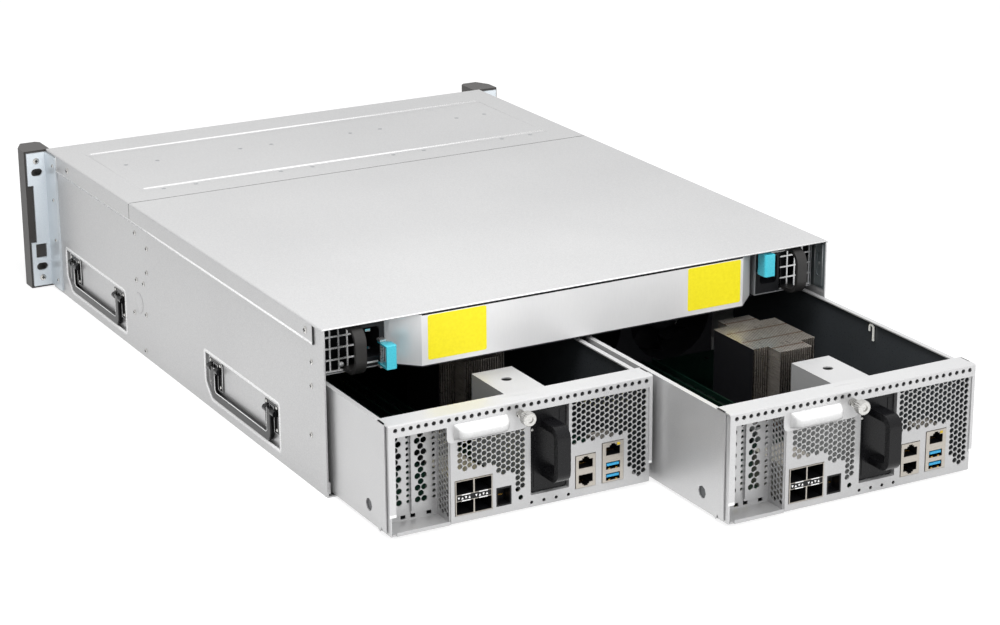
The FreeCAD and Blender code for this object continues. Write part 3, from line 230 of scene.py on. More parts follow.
def swept(path, profile, closed=False):
    """Profile (side, up) carried along a path: each ring stands across the path's direction.
    The side direction is the path's thinnest axis, less its share along the path."""
    path = np.asarray(path, float)
    if closed:
        ahead = np.roll(path, -1, 0) - np.roll(path, 1, 0)
    else:
        ahead = np.gradient(path, axis=0)
    ahead /= np.linalg.norm(ahead, axis=1)[:, None]
    thinnest = np.eye(3)[int(np.argmin(path.max(0) - path.min(0)))]
    side = thinnest - ahead * (ahead @ thinnest)[:, None]
    side = side / np.linalg.norm(side, axis=1)[:, None]
    up = np.cross(ahead, side)
    profile = np.asarray(profile, float)[None]
    points = path[:, None] + side[:, None] * profile[..., :1] + up[:, None] * profile[..., 1:]
    rows, columns = points.shape[:2]
    faces = grid_faces(rows, columns, around=True).tolist()
    start = np.arange(columns)
    last = (rows - 1) * columns + start
    if closed:
        seam = [last, np.roll(last, -1), np.roll(start, -1), start]
        faces += np.stack(seam, -1).tolist()
    else:
        faces += [start[::-1].tolist(), last.tolist()]
    return points.reshape(-1, 3), faces


def closed_skin(front, back):
    """Solid between two grids that lie over each other: both skins and the rim between them."""
    rows, columns = front.shape[:2]
    count = rows * columns
    index = np.arange(count).reshape(rows, columns)
    rim = np.concatenate([index[0, :-1], index[:-1, -1], index[-1, :0:-1], index[:0:-1, 0]])
    edge = np.stack([rim, np.roll(rim, -1), np.roll(rim, -1) + count, rim + count], -1)
    skin = grid_faces(rows, columns)
    points = np.vstack([front.reshape(-1, 3), back.reshape(-1, 3)])
    return points, np.vstack([skin, skin[:, ::-1] + count, edge[:, ::-1]]).tolist()


def dome(middle, spread, height):
    """Shallow cap: height (1 - r squared) over an ellipse of the given half sizes."""
    rows, columns = 6, 16
    angle = np.arange(columns) * 2 * math.pi / columns
    r, a = np.meshgrid(np.linspace(0.02, 1, rows), angle, indexing="ij")
    points = np.stack([middle[0] + spread[0] * r * np.cos(a), middle[1] + spread[1] * r * np.sin(a),
                       middle[2] + height * (1 - r * r)], -1).reshape(-1, 3)
    return points, grid_faces(rows, columns, around=True).tolist() + [list(range(columns))]


def facing(part, way, at=(0.0, 0.0, 0.0)):
    """Part made about +Y, turned to face another way and set at a place."""
    return part[0] @ np.array(FACING[way], float).T + np.array(at, float), part[1]


def head(radius, height, sides=16):
    """Low round head: radius cos(a) against height sin(a) over most of a quarter turn."""
    a = np.linspace(0, 1.35, 5)
    return turned(radius * np.cos(a), height * np.sin(a), sides)


def rod(start, end, radius, sides=12):
    """Straight round rod between two places."""
    return swept([start, end], radius * ring(0, 0, 1, sides))


def strap_outline(start, reach, z, thickness, radius, steps=8):
    """D-shaped strap in (y, z): legs from start, quarter-circle corners and a bar, offset by its
    thickness; the upper half is the lower half mirrored."""
    arc = quarter(1.0, steps)[:, ::-1] * [1, -1] + [0, 1]
    corner = np.array([start + reach - radius, z[0]])
    outer = np.vstack([[(start, z[0])], arc * radius + corner])
    inner = np.vstack([[(start, z[0] + thickness)],
                       arc * (radius - thickness) + corner + [0, thickness]])
    mirrored = [np.array([0, z[0] + z[1]]) + [1, -1] * half for half in (outer, inner)]
    return np.vstack([outer, mirrored[0][::-1], mirrored[1], inner[::-1]])


def both_walls(*parts):
    """Each part on the +X wall and its mirror image on the other, with the faces turned over."""
    pairs = [(part, (part[0] * np.array([-1, 1, 1]), [face[::-1] for face in part[1]]))
             for part in parts]
    return [part for pair in pairs for part in pair]


def bevelled(piece, width):
    """Rounds the sharp edges of a piece, after its doubled corners are merged."""
    weld = piece.modifiers.new("weld", "WELD")
    weld.merge_threshold = 0.01 * MM
    edge = piece.modifiers.new("edge", "BEVEL")
    edge.width = width * MM
    edge.segments = 2
    edge.limit_method = "ANGLE"
    edge.angle_limit = math.radians(40)


def dressed(name, parts, finish, body, slot, at=(0.0, 0.0, 0.0), smooth=False, bevel=0.0,
            instead=None):
    """Joined parts, shifted by at, as one piece with a finish: it rides on a body and stands for a
    node if one is named. The slot argument is not used."""
    points, faces = joined(parts)
    mesh = bpy.data.meshes.new(name)
    mesh.from_pydata(((points + np.array(at)) * MM).tolist(), [], faces)
    mesh.polygons.foreach_set("use_smooth", np.full(len(mesh.polygons), smooth))
    mesh.materials.append(finish)
    mesh.update()
    piece = bpy.data.objects.new(name, mesh)
    bpy.context.scene.collection.objects.link(piece)
    if bevel:
        bevelled(piece, bevel)
    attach(piece, body)
    if instead:
        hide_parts(instead)


# Materials

# Where the middle of a noise is spread over the whole range
NOISE_MIDDLE = {"From Min": 0.3, "From Max": 0.7}
BUMP_DEPTH = 0.3


def srgb(code):
    """Linear colour of an sRGB hex value."""
    parts = [int(code[i:i + 2], 16) / 255 for i in (0, 2, 4)]
    return (*[c / 12.92 if c <= 0.04045 else ((c + 0.055) / 1.055) ** 2.4 for c in parts], 1.0)


def node(tree, kind, inputs=None, **settings):
    """Adds a node with its settings; an input given as a socket is linked, any other is set."""
    made = tree.nodes.new(kind)
    for key, value in settings.items():
        setattr(made, key, value)
    for key, value in (inputs or {}).items():
        if isinstance(value, bpy.types.NodeSocket):
            tree.links.new(value, made.inputs[key])
        else:
            made.inputs[key].default_value = value
    return made


def material(name):
    """Empty node material; returns it with its tree and the output's surface socket."""
    made = bpy.data.materials.new(name)
    made.use_nodes = True
    made.node_tree.nodes.clear()
    out = node(made.node_tree, "ShaderNodeOutputMaterial")
    return made, made.node_tree, out.inputs["Surface"]


def surfaced(name, dark, light, metallic, rough, grain_mm, stretch=(1, 1, 1), bump=0.02,
             cloud_mm=60.0, cloud_share=0.25, rough_spread=0.06, specular=0.5):
    """Finish with two tones: a broad cloud and a fine grain mix them, and the grain moves gloss
    and height."""
    made, tree, surface = material(name)
    place = node(tree, "ShaderNodeTexCoord").outputs["Object"]
    laid = node(tree, "ShaderNodeMapping", {"Vector": place, "Scale": stretch}).outputs["Vector"]
    fine = {"Vector": laid, "Scale": 1 / (grain_mm * MM), "Detail": 3.0}
    broad = {"Vector": place, "Scale": 1 / (cloud_mm * MM), "Detail": 2.0}
    grain, cloud = [node(tree, "ShaderNodeTexNoise", inputs).outputs["Fac"]
                    for inputs in (fine, broad)]
    both = node(tree, "ShaderNodeMix", {0: cloud_share, 2: grain, 3: cloud}, data_type="FLOAT")
    tone = node(tree, "ShaderNodeMapRange", {"Value": both.outputs[0], **NOISE_MIDDLE})
    colour = node(tree, "ShaderNodeMix", {0: tone.outputs["Result"], 6: srgb(dark), 7: srgb(light)},
                  data_type="RGBA")
    gloss = node(tree, "ShaderNodeMapRange",
                 {"Value": grain, **NOISE_MIDDLE, "To Min": rough - rough_spread,
                  "To Max": rough + rough_spread})
    shader = node(tree, "ShaderNodeBsdfPrincipled",
                  {"Base Color": colour.outputs[2], "Metallic": metallic,
                   "Roughness": gloss.outputs["Result"], "Specular IOR Level": specular})
    if bump:
        height = node(tree, "ShaderNodeBump",
                      {"Height": grain, "Strength": bump, "Distance": BUMP_DEPTH * MM})
        tree.links.new(height.outputs["Normal"], shader.inputs["Normal"])
    tree.links.new(shader.outputs["BSDF"], surface)
    return made


# Electro-galvanised sheet: rolled, pale and satin, with a fine crystalline speckle.
zinc = surfaced("galvanised_sheet", "B2B2B3", "CECECE", 0.55, 0.34, 0.9, bump=0.05,
                cloud_mm=240.0, cloud_share=0.3)
# The same sheet on the controllers, a little brighter from fewer handling marks.
bright_zinc = surfaced("bright_galvanised_sheet", "BFBFC0", "D0D0D0", 0.5, 0.35, 0.6, bump=0.03,
                       rough_spread=0.05)
# The same sheet with a satin roll finish, on the rear panels.
panel_zinc = surfaced("satin_galvanised_sheet", "B1B1B2", "C3C3C3", 0.5, 0.38, 0.6, bump=0.03)
# The crossbeam's sheet: the same galvanised sheet painted the palest of all, as painted light where
# the lamps fall on its rear face; smooth and faintly clouded.
beam_zinc_painted_light = surfaced("crossbeam_sheet_painted_light", "E4E4E5", "EEEEEE", 0.35, 0.33, 1.2,
                     stretch=(1, 1, 0.15), bump=0.0, cloud_share=0.75, rough_spread=0.02)
# Inner sheet, greyer where less light falls on its rolled grain.
inner_zinc = surfaced("inner_galvanised_sheet", "9EA0A2", "B6B8BA", 0.75, 0.42, 0.8, bump=0.05)
# Blue-passivated zinc plate of the rack ears.
blue_zinc = surfaced("blue_passivated_plate", "D4DCE3", "E4EAEE", 0.35, 0.36, 0.6, bump=0.03)
# Bright nickel of screws, rivets and inlet blades: a clear mirror, slightly clouded.
nickel = surfaced("bright_nickel_plate", "B4B3B0", "D4D3D0", 1.0, 0.14, 1.5, bump=0.01,
                  rough_spread=0.04)
# Nickel of the carry handles and their plates, painted near black to stand for the dark
# surroundings it mirrors: a painted reflection, with the same gloss.
nickel_painted_dark_reflection = surfaced("nickel_painted_dark_reflection_plate", "1B1B1C", "2B2B2C", 0.8, 0.16, 1.5, bump=0.01,
                       rough_spread=0.04)
# Tin-nickel port shells, warm and half matt.
port_nickel = surfaced("tinned_port_shell", "A19C94", "BFB9B0", 0.8, 0.34, 0.5, bump=0.03)
# Spark-eroded black ABS of the fan frames.
black_abs = surfaced("textured_black_abs", "17171A", "242427", 0.0, 0.46, 0.5, bump=0.12)
# Moulded caps of the rack ears, a warm dark grey under the same texture.
cap_abs = surfaced("textured_warm_grey_abs", "2B2928", "3B3836", 0.0, 0.45, 0.5, bump=0.12)
# Battery pull and pack, polished black nylon.
black_nylon = surfaced("polished_black_nylon", "08080A", "111113", 0.0, 0.3, 0.8, bump=0.04,
                       specular=0.25)
# Black polyester insulating film, smooth and half glossy.
black_film = surfaced("black_insulating_film", "34373A", "3B3E41", 0.0, 0.32, 1.0, bump=0.01,
                      cloud_share=0.7)
# Dark phosphated steel of the slotted guides in the corners; the same dark grey on the liners
# inside the walls is painted shade.
dark_steel_and_shade = surfaced("phosphated_steel_and_painted_shade", "6C7476", "868E90", 0.5, 0.36, 0.8, bump=0.05)
# Black-coated steel of the power supplies' inlet plates, half matt; the same black stands as
# painted shade on the bay partition and in the supplies' insides.
black_coat_and_shade = surfaced("black_coat_and_painted_shade", "101113", "1C1D20", 0.2, 0.5, 0.6, bump=0.06)
# Cyan ABS of the release latches: moulded and glossy.
cyan_abs = surfaced("cyan_abs", "3DB8CC", "55CADB", 0.0, 0.32, 1.2, bump=0.03)
# White lacquered pull bar, smooth and glossy.
white_lacquer = surfaced("white_lacquered_steel", "CDCDCD", "D8D8D8", 0.1, 0.22, 1.6, bump=0.01)
# Bronze-toned copper fins with a thin oxide, brushed along their length.
bronze = surfaced("oxidised_copper_fins", "C2BAB1", "E8E2DB", 0.85, 0.32, 1.0,
                  stretch=(1, 0.1, 1), bump=0.03)
# Green epoxy-glass board under solder mask.
board = surfaced("solder_masked_board", "07150F", "0B2019", 0.0, 0.4, 1.4, bump=0.05,
                 specular=0.3)
# Moulded connector and socket bodies, a dull black.
socket_black = surfaced("connector_black_nylon", "0D0D0E", "151517", 0.0, 0.42, 0.6, bump=0.05,
                        specular=0.25)
# Blue tongues of the fast serial ports.
blue_nylon = surfaced("blue_nylon", "1F93C9", "43AEDC", 0.0, 0.4, 0.8, bump=0.03)
# Gold flash on contacts.
gold = surfaced("gold_flash", "B98A3C", "D9AE5E", 1.0, 0.25, 0.6)
# Yellow vinyl stickers, left blank.
yellow_vinyl = surfaced("yellow_vinyl", "E9DA1A", "F2E426", 0.0, 0.42, 2.0, bump=0.01)
# Dark grey moulded drive-tray bezels.
tray_abs = surfaced("dark_grey_abs", "2A2B2E", "38393D", 0.0, 0.44, 0.5, bump=0.12)
# Cast and machined disk-drive housings.
cast_aluminium = surfaced("cast_aluminium", "8B8D90", "A9ABAE", 0.85, 0.4, 1.0, bump=0.06)
# Grey moulded latch bars and the power button.
grey_abs = surfaced("grey_abs", "8F9194", "A6A8AB", 0.0, 0.35, 0.6, bump=0.04)
# Copper base, heat pipes and fin tabs, lightly tarnished.
copper = surfaced("tarnished_copper", "8E6C56", "B8947A", 1.0, 0.36, 1.0, bump=0.03)
# Bright drawn wire of the fan guards.
wire_nickel = surfaced("drawn_nickel_wire", "C6C7C8", "E2E2E2", 0.7, 0.3, 0.8)
# Black moulded rubber of the pull straps, faintly pebbled.
strap_rubber = surfaced("pebbled_black_rubber", "1C1B1B", "2B2A29", 0.0, 0.5, 0.5, bump=0.15)
# Fan plastic, black with a soft sheen.
fan_black = surfaced("glass_filled_fan_plastic", "121214", "1D1D20", 0.0, 0.38, 0.9, bump=0.05)
# White of the port marks, and painted highlight along rolled sheet edges, bead crests, recess and
# hinge rims, the handle bars' inner edges and the lever's strip ends.
mark_and_highlight_white = surfaced("polished_sheet_edge", "F4F4F4", "FDFDFD", 0.25, 0.25, 0.8)
# Amber and green light pipes, clear and glossy.
amber_lens = surfaced("amber_lens", "B79A1E", "D9BC33", 0.0, 0.2, 0.6)
green_lens = surfaced("green_lens", "3E7A4C", "5C9C68", 0.0, 0.2, 0.6)
# Natural white nylon clip.
white_nylon = surfaced("natural_nylon", "DDDDD8", "EFEFEA", 0.0, 0.45, 0.8, bump=0.03)

SLOT_FINISH = {"zinc_sheet": zinc, "inner_sheet": inner_zinc, "ear_steel": blue_zinc,
               "cap_plastic": cap_abs, "circuit_board": board, "nickel_steel": nickel,
               "screw_steel": nickel, "psu_steel": inner_zinc, "black_strap": black_abs,
               "cyan_plastic": cyan_abs, "canister_sheet": bright_zinc,
               "panel_sheet": bright_zinc, "lever_sheet": bright_zinc, "bronze_fins": bronze,
               "fan_plastic": black_abs, "battery_plastic": black_abs, "tray_plastic": tray_abs,
               "button_plastic": grey_abs}
# The bay partition takes the black as painted shade.
NODE_FINISH = {"bay_partition": black_coat_and_shade, "rear_crossbeam": beam_zinc_painted_light}


def dress_nodes():
    """Each node takes its own finish or that of its material slot."""
    for part in frame["record"]["subparts"]:
        mesh = frame["nodes"][part["node"]].data
        mesh.materials.clear()
        mesh.materials.append(NODE_FINISH.get(part["node"], SLOT_FINISH[part["material_slot"]]))


# Rear panel of a controller: local x from its middle, y from the lever's face, z from the
# chassis floor

sfp_x, sfp_z = (25.4, 56.3), (8.6, 36.0)
console_x, console_z = (9.9, 22.5), (9.2, 24.0)
battery_x, battery_z = (-38.1, -6.0), (12.6, 78.3)
lan_x, lan_z = (-60.8, -43.3), (9.7, 35.9)
usb_x, usb_z = (-84.8, -65.9), (9.7, 41.7)
panel_windows = ((sfp_x, sfp_z), (console_x, console_z), (battery_x, battery_z),
                 (lan_x, lan_z), (usb_x, usb_z))
small_hole = 1.35
VENT_ROW = 4.45
VENT_RADIUS = 2.1
# First column, pitch, columns and top row of a vent, and its lowest row past each x
LEFT_VENT = (51.8, 3.93, 14, 77.5, ((23.5, 42.0), (7.0, 33.5), (-110.0, 18.5)))
RIGHT_VENT = (-42.5, 3.96, 16, 78.0, ((-87.5, 45.5), (-91.0, 17.5), (-110.0, 11.0)))
BRACKETS_X = (94.0, 73.7)
bracket_wide = 17.0
bracket_window = 13.0
bracket_cell = 2.45
sleeve_wall = 1.0


def vent_holes(first, pitch, count, top, steps):
    """Staggered soft hexagons: columns go down from the top row, every other one from half a row
    lower, to the step that holds at their x."""
    holes = []
    for index, x in enumerate(first - pitch * np.arange(count)):
        bottom = next(z for edge, z in steps if x > edge)
        heights = np.arange(top - (index % 2) * VENT_ROW / 2, bottom, -VENT_ROW)
        holes += [soft_hexagon(x, z, VENT_RADIUS) for z in heights]
    return holes


def panel_sheet_part():
    """Flat panel with the ports' and the battery's windows, small round holes and both vents."""
    holes = [rounded(x, z, 0.4) for x, z in panel_windows]
    holes += [ring(x, 7.0, small_hole, 12) for x in np.linspace(-6.8, -37.7, 4)]
    holes.append(ring(2.3, 12.8, 2.0))
    holes += vent_holes(*LEFT_VENT) + vent_holes(*RIGHT_VENT)
    outline = rounded((-case_half, card_edge), (panel_floor, panel_top))
    return sheet("y", outline, holes, (panel_back, panel_front))


def card_bay_parts():
    """Set-back card bay: back sheet, two blanking brackets, pierced side wall, ledge and lip."""
    right, left = card_edge, case_half - card_wall
    inside = right + card_wall
    full_z = (panel_floor, panel_top)
    holes = [ring(x, z, small_hole, 12) for x in (83.8, 62.6) for z in 19.0 + 4.5 * np.arange(12)]
    holes += [rounded(centred(x, 4.0), (panel_floor + 2.0, panel_floor + 6.0))
              for x in (67.0, 80.0, 88.0)]
    holes += [rounded(centred(x, bracket_window), (16.0, 78.0)) for x in BRACKETS_X]
    parts = [sheet("y", rounded((right, left), full_z), holes, (card_back - card_wall, card_back))]
    bracket_face = card_back + card_wall
    for x in BRACKETS_X:
        cells = [soft_hexagon(x + dx, z + dz, bracket_cell, math.pi / 6)
                 for dx, dz in ((-2.6, 0.0), (2.6, 0.0), (0.0, 4.5))
                 for z in 19.5 + 9.0 * np.arange(6)]
        cells = [cell for cell in cells if cell[:, 1].max() < 72.5]
        plate = rounded(centred(x, bracket_wide), (9.5, panel_top), 1.0)
        parts.append(sheet("y", plate, cells, (card_back, bracket_face)))
        parts.append(block((x + 8.0, x + 8.5), (bracket_face, bracket_face + 1.6),
                           (12.0, panel_top - 1.0)))
    cells = [soft_hexagon(y, z + (i % 2) * VENT_ROW / 2, 1.9)
             for i, y in enumerate((-5.0, -8.9, -12.8, -16.7))
             for z in np.arange(10.0, 74.0, VENT_ROW)]
    parts.append(sheet("x", rounded((card_back, panel_back), full_z), cells, (right, inside)))
    parts.append(block((inside, left), (card_back, panel_front),
                       (panel_floor, panel_floor + card_wall)))
    parts.append(block((inside, canister_half - edge_margin), (panel_front, panel_front + 0.9),
                       (panel_floor - 0.6, panel_floor + 2.2)))
    return parts


def sleeve_parts():
    """Four-sided sleeve behind the battery opening with a finger hole in its top."""
    x = inset(battery_x, -sleeve_wall)
    y = (-89.0, panel_back)
    low, top = battery_z
    hole = ring(sum(x) / 2, -66.0, 4.0, 24)
    return [sheet("z", rounded(x, y), [hole], (top, top + sleeve_wall)),
            block((x[0], x[0] + sleeve_wall), y, (low - sleeve_wall, top)),
            block((x[1] - sleeve_wall, x[1]), y, (low - sleeve_wall, top)),
            block(inset(x, sleeve_wall), y, (low - sleeve_wall, low))]


def rear_panel(name, at):
    """Panel, card bay and battery sleeve of one controller."""
    slot = "panel_sheet"
    dressed(name + "_pierced_panel", [panel_sheet_part()], panel_zinc, name, slot, at,
            instead=name + "_rear_panel")
    dressed(name + "_card_bay", card_bay_parts(), panel_zinc, name, slot, at)
    dressed(name + "_battery_sleeve", sleeve_parts(), bright_zinc, name, slot, at)


# Ejector lever

grip_x, grip_z = (14.0, 57.0), (68.2, 79.8)
grip_depth = 10.0
grip_plate_x = (-2.4, 62.6)
grip_plate_low = 66.0
grip_plate_corner = 4.0
lever_bend = 1.5
lever_front = (-lever_sheet, 0.0)
flange_top = canister_top - lever_bend
flange_holes = 35
thumbscrew_x = 3.5
pivot_hole = 2.05
LEVER_ARM = [(-7.0, canister_top), (-17.0, canister_top), (-17.0, 17.0), (-21.5, 12.0),
             (-21.5, 4.85), (-17.0, 2.6), (-14.5, 7.0), (-12.0, 4.4), (-7.0, 4.4)]
EDGE_STRIPS_X = ((canister_half - 5.0, canister_half), (-canister_half, 2.6 - canister_half))
strip_low, tip_low = 20.5, 18.4


def lever_parts():
    """Top lip bent down into the pierced front flange with the grip's plate, two side arms and
    the edge strips. The bend is a quarter circle carried across the width."""
    across = wide(canister_half)
    lip = sheet("z", rounded(across, (-lip_depth, -lever_bend)), [],
                (canister_top - lever_sheet, canister_top))
    arc = quarter(1.0)
    fold = np.vstack([lever_bend * arc, (lever_bend - lever_sheet) * arc[::-1]])
    bend = swept([(x, 0.0, 0.0) for x in across], fold + [-lever_bend, flange_top])
    corner = quarter(grip_plate_corner)
    right, left = inset(grip_plate_x, grip_plate_corner)
    level = grip_plate_low + grip_plate_corner
    outline = np.vstack([[(across[0], flange_low), (grip_plate_x[0], flange_low)],
                         corner * [-1, -1] + [right, level], corner[::-1] * [1, -1] + [left, level],
                         [(grip_plate_x[1], flange_low), (across[1], flange_low),
                          (across[1], flange_top), (across[0], flange_top)]])
    hole_x = np.linspace(canister_half - edge_margin, edge_margin - canister_half, flange_holes)
    holes = [ring(x, canister_top - 4.0, 1.7) for x in hole_x]
    holes.append(ring(thumbscrew_x, flange_low, pivot_hole))
    flange = sheet("y", outline, holes, lever_front)
    pivot = ring(-12.0, 12.0, pivot_hole)
    arms = [sheet("x", np.array(LEVER_ARM), [pivot],
                  (s * (canister_half - lever_sheet), s * canister_half)) for s in (-1, 1)]
    strips = [block(x, lever_front, (strip_low, flange_low)) for x in EDGE_STRIPS_X]
    return [lip, bend, flange, *arms, *strips]


def grip_part():
    """Half-round pull: y = depth (1 - |u|^8)^(1/2) (1 - |v|^2.6)^(1/2) over u along it and v
    across it."""
    rows, columns = 49, 25
    u, v = np.meshgrid(np.linspace(-1, 1, rows), np.linspace(-1, 1, columns), indexing="ij")
    rise = np.sqrt(np.clip(1 - np.abs(u) ** 8, 0, 1))
    rise = rise * np.sqrt(np.clip(1 - np.abs(v) ** 2.6, 0, 1))
    x = np.mean(grip_x) + u * np.diff(grip_x) / 2
    z = np.mean(grip_z) + v * np.diff(grip_z) / 2
    points = np.stack([x, grip_depth * rise, z], -1).reshape(-1, 3)
    return points, grid_faces(rows, columns)[:, ::-1].tolist()


def ejector_lever(name, at):
    """Lever with the oval on its lip, its pull bar, strip ends in white as painted highlight, and a
    black strip behind the flange's holes as painted shade.
    """
    body, slot = name + "_lever", "lever_sheet"
    dressed(name + "_pierced_lever", lever_parts(), bright_zinc, body, slot, at, instead=body)
    oval = dome((0.0, -9.0, canister_top), (14.5, 4.2), 0.5)
    dressed(name + "_lip_emboss", [oval], bright_zinc, body, slot, at, smooth=True)
    dressed(name + "_pull_bar", [grip_part()], white_lacquer, body, slot, at, smooth=True)
    # White ends of the edge strips: painted highlight.
    tips = [block(x, lever_front, (tip_low, strip_low)) for x in EDGE_STRIPS_X]
    dressed(name + "_lever_tips_painted_highlight", tips, mark_and_highlight_white, body, slot, at)
    # Black strip behind the flange's holes: painted shade, so the holes read dark.
    hole_shade = block(wide(canister_half - 1.2), (-lever_sheet - 0.9, -lever_sheet - 0.05),
                   (panel_top + 0.3, flange_top - 0.2))
    dressed(name + "_flange_hole_shade", [hole_shade], socket_black, body, slot, at)


def thumbscrew(name, at):
    """Knurled head with a round recess, its shank, a collar and the spring that stands it out.
    The knurl is 1 + 0.025 cos(24 a); the spring is a helix of five turns."""
    knurl = turned([4.6, 5.3, 5.3, 4.6, 2.4, 2.4], [9.0, 9.8, 15.2, 16.0, 16.0, 15.0], 72,
                   lambda a: 1 + 0.025 * np.cos(24 * a))
    shank = turned([2.0, 2.0], [-1.0, 9.2], 20)
    collar = turned([3.2, 3.2], [0.4, 1.6], 24)
    turns = np.linspace(0, 2 * math.pi * 5, 161)
    coil = np.column_stack([2.9 * np.cos(turns), np.linspace(1.8, 8.8, len(turns)),
                            2.9 * np.sin(turns)])
    spring = swept(coil, 0.35 * ring(0, 0, 1, 8))
    dressed(name + "_knurled_screw", [knurl, shank, collar, spring], nickel, name + "_thumbscrew",
            "screw_steel", np.array(at) + [thumbscrew_x, 0.0, flange_low],
            instead=name + "_thumbscrew")


# Inside a controller

film = 0.4
fan_front = -319.5
board_z = (6.8, 8.4)
board_top = board_z[1]
mouth = -0.7
shell_gap = 0.45
shell_wall = 0.5
shell_face = 0.6
jack_rise = 4.5
usb_slot_z = (11.3, 20.1)


def film_parts():
    """Insulating film on both walls and on the floor."""
    front = fan_front + 1.0
    z = (panel_floor + film, case_top - 1.3)
    floor_y = (front, card_back - 2.0)
    return [block((inner_half - film, inner_half), floor_y, z),
            block((-inner_half, film - inner_half), (front, panel_back - film), z),
            block(wide(inner_half - film), floor_y, (panel_floor, panel_floor + film))]


def jack_outline(middle, low, turn):
    """Eight-contact jack mouth with its stepped keyway above (turn = 1) or below (turn = -1)."""
    half = np.array([(6.0, -jack_rise), (6.0, 2.1), (3.1, 2.1), (3.1, 3.4), (1.7, 3.4),
                     (1.7, jack_rise)])
    full = np.vstack([half, half[::-1] * [-1, 1]]) * [1, turn]
    return full[::turn] + np.array([middle, low + jack_rise])


def shell_parts(x, z, cavities, depth):
    """Stamped shell round a connector, clear of the panel: face with its mouths and four thin
    walls behind it."""
    x, z = inset(x, shell_gap), inset(z, shell_gap)
    y = (mouth - depth, mouth - shell_face)
    between = inset(x, shell_wall)
    return [sheet("y", rounded(x, z, 0.3), cavities, (y[1], mouth)),
            block((x[0], between[0]), y, z), block((between[1], x[1]), y, z),
            block(between, y, (z[0], z[0] + shell_wall)),
            block(between, y, (z[1] - shell_wall, z[1]))]


def insert_parts(x, z, cavities, hole, depth, wall=0.95):
    """Moulded insert in a shell: sockets of the given depth with a solid back."""
    x, z = inset(x, wall), inset(z, wall)
    return [sheet("y", rounded(x, z), cavities, (mouth - hole, mouth - shell_face)),
            block(x, (mouth - depth, mouth - hole), z)]


def plug_in_cages():
    """Four plug-in module cages with arrows between them: shells, inserts and marks."""
    width = (sfp_x[1] - sfp_x[0] - 3.2) / 2
    cages = [rounded((left, left + width), z, 0.3)
             for left in (sfp_x[0] + 1.1, sfp_x[0] + 2.1 + width)
             for z in ((9.6, 19.8), (24.9, 35.1))]
    plate = block(inset(sfp_x, 1.4), (mouth, mouth + 0.08), (20.2, 24.5))
    arrow = np.array([(-0.9, -0.9), (0.9, -0.9), (0.0, 0.9)])
    arrows = (arrow, (arrow * [1, -1])[::-1])
    spots = np.concatenate([sfp_x[0] + first + 2.9 * np.arange(4) for first in (5.0, 19.2)])
    marks = [sheet("y", arrows[i % 2] + np.array([x, 22.2]), [], (mouth + 0.08, mouth + 0.16))
             for i, x in enumerate(spots)]
    low = np.array([24.3, 19.7])
    marks += [block((left, left + 7.0), (mouth, mouth + 0.25), (low, low + 0.7))
              for left in (sfp_x[0] + 4.5, sfp_x[0] + 18.5)]
    inserts = [*insert_parts(sfp_x, sfp_z, cages, 40.0, 47.0), plate]
    return shell_parts(sfp_x, sfp_z, cages, 48.0), inserts, marks


def port_pieces():
    """Shells, inserts, blue tongues, contacts, lamps and pressed marks of every connector."""
    shells, inserts, marks = plug_in_cages()
    plug = rounded(inset(console_x, 1.2), (console_z[0] + 1.2, console_z[1] - 1.4), 0.6)
    inserts += insert_parts(console_x, console_z, [plug], 10.0, 16.0, 0.0)
    contacts = [block((console_x[0] + 2.5, console_x[0] + 6.0), (mouth - 9.9, mouth - 9.4),
                      (14.0, 15.0))]
    lan, usb = sum(lan_x) / 2, sum(usb_x) / 2
    jacks = [jack_outline(lan, lan_z[0] + 1.6, -1), jack_outline(lan, lan_z[1] - 10.6, 1)]
    slots = [rounded(centred(usb, 12.0), (low, low + 5.6), 0.3) for low in usb_slot_z]
    mixed = [jack_outline(usb, usb_z[1] - 10.6, 1), *slots]
    for x, z, cavities in ((lan_x, lan_z, jacks), (usb_x, usb_z, mixed)):
        shells += shell_parts(x, z, cavities, 24.0)
        inserts += insert_parts(x, z, cavities, 13.0, 23.0)
    tongues = [block(centred(usb, 10.4), (mouth - 13.0, mouth - 0.3), (low + 2.6, low + 4.4))
               for low in usb_slot_z]
    contacts += [block(centred(usb + dx, 1.6), (mouth - 8.0, mouth - 0.4), (low + 0.1, low + 0.7))
                 for low in usb_slot_z for dx in (-3.0, 3.0)]
    pins = np.linspace(-3.6, 3.6, 8)
    rows = ((lan, lan_z[0] + 3.4), (lan, lan_z[1] - 8.8), (usb, usb_z[1] - 8.8))
    contacts += [block(centred(x + pins, 0.44), (mouth - 12.5, mouth - 5.5), (low, low + 0.3))
                 for x, low in rows]
    lamps = [block(centred(usb - 4.6, 2.4), (mouth, mouth + 0.3), centred(usb_z[1] - 2.6, 1.9))]
    return shells, inserts, tongues, contacts, lamps, marks


def chip_parts():
    """Small components spread at random over the free strips of the board, and five large chips."""
    count, large_size, large_height = 90, 17.0, 1.6
    rng = np.random.default_rng(7)
    side = rng.integers(0, 2, count)
    x = np.where(side, rng.uniform(62, 96, count), rng.uniform(-100, -64, count))
    y = rng.uniform(-305, -96, count)
    size_x, size_y, size_z = [rng.uniform(*span, count)
                              for span in ((1.2, 6.5), (1.2, 5.0), (0.5, 1.8))]
    small = block((x, x + size_x), (y, y + size_y), (board_top, board_top + size_z))
    x = np.array([66.0, 70.0, -92.0, -94.0, -90.0])
    y = np.array([-150.0, -210.0, -130.0, -190.0, -250.0])
    return [small, block((x, x + large_size), (y, y + large_size),
                         (board_top, board_top + large_height))]


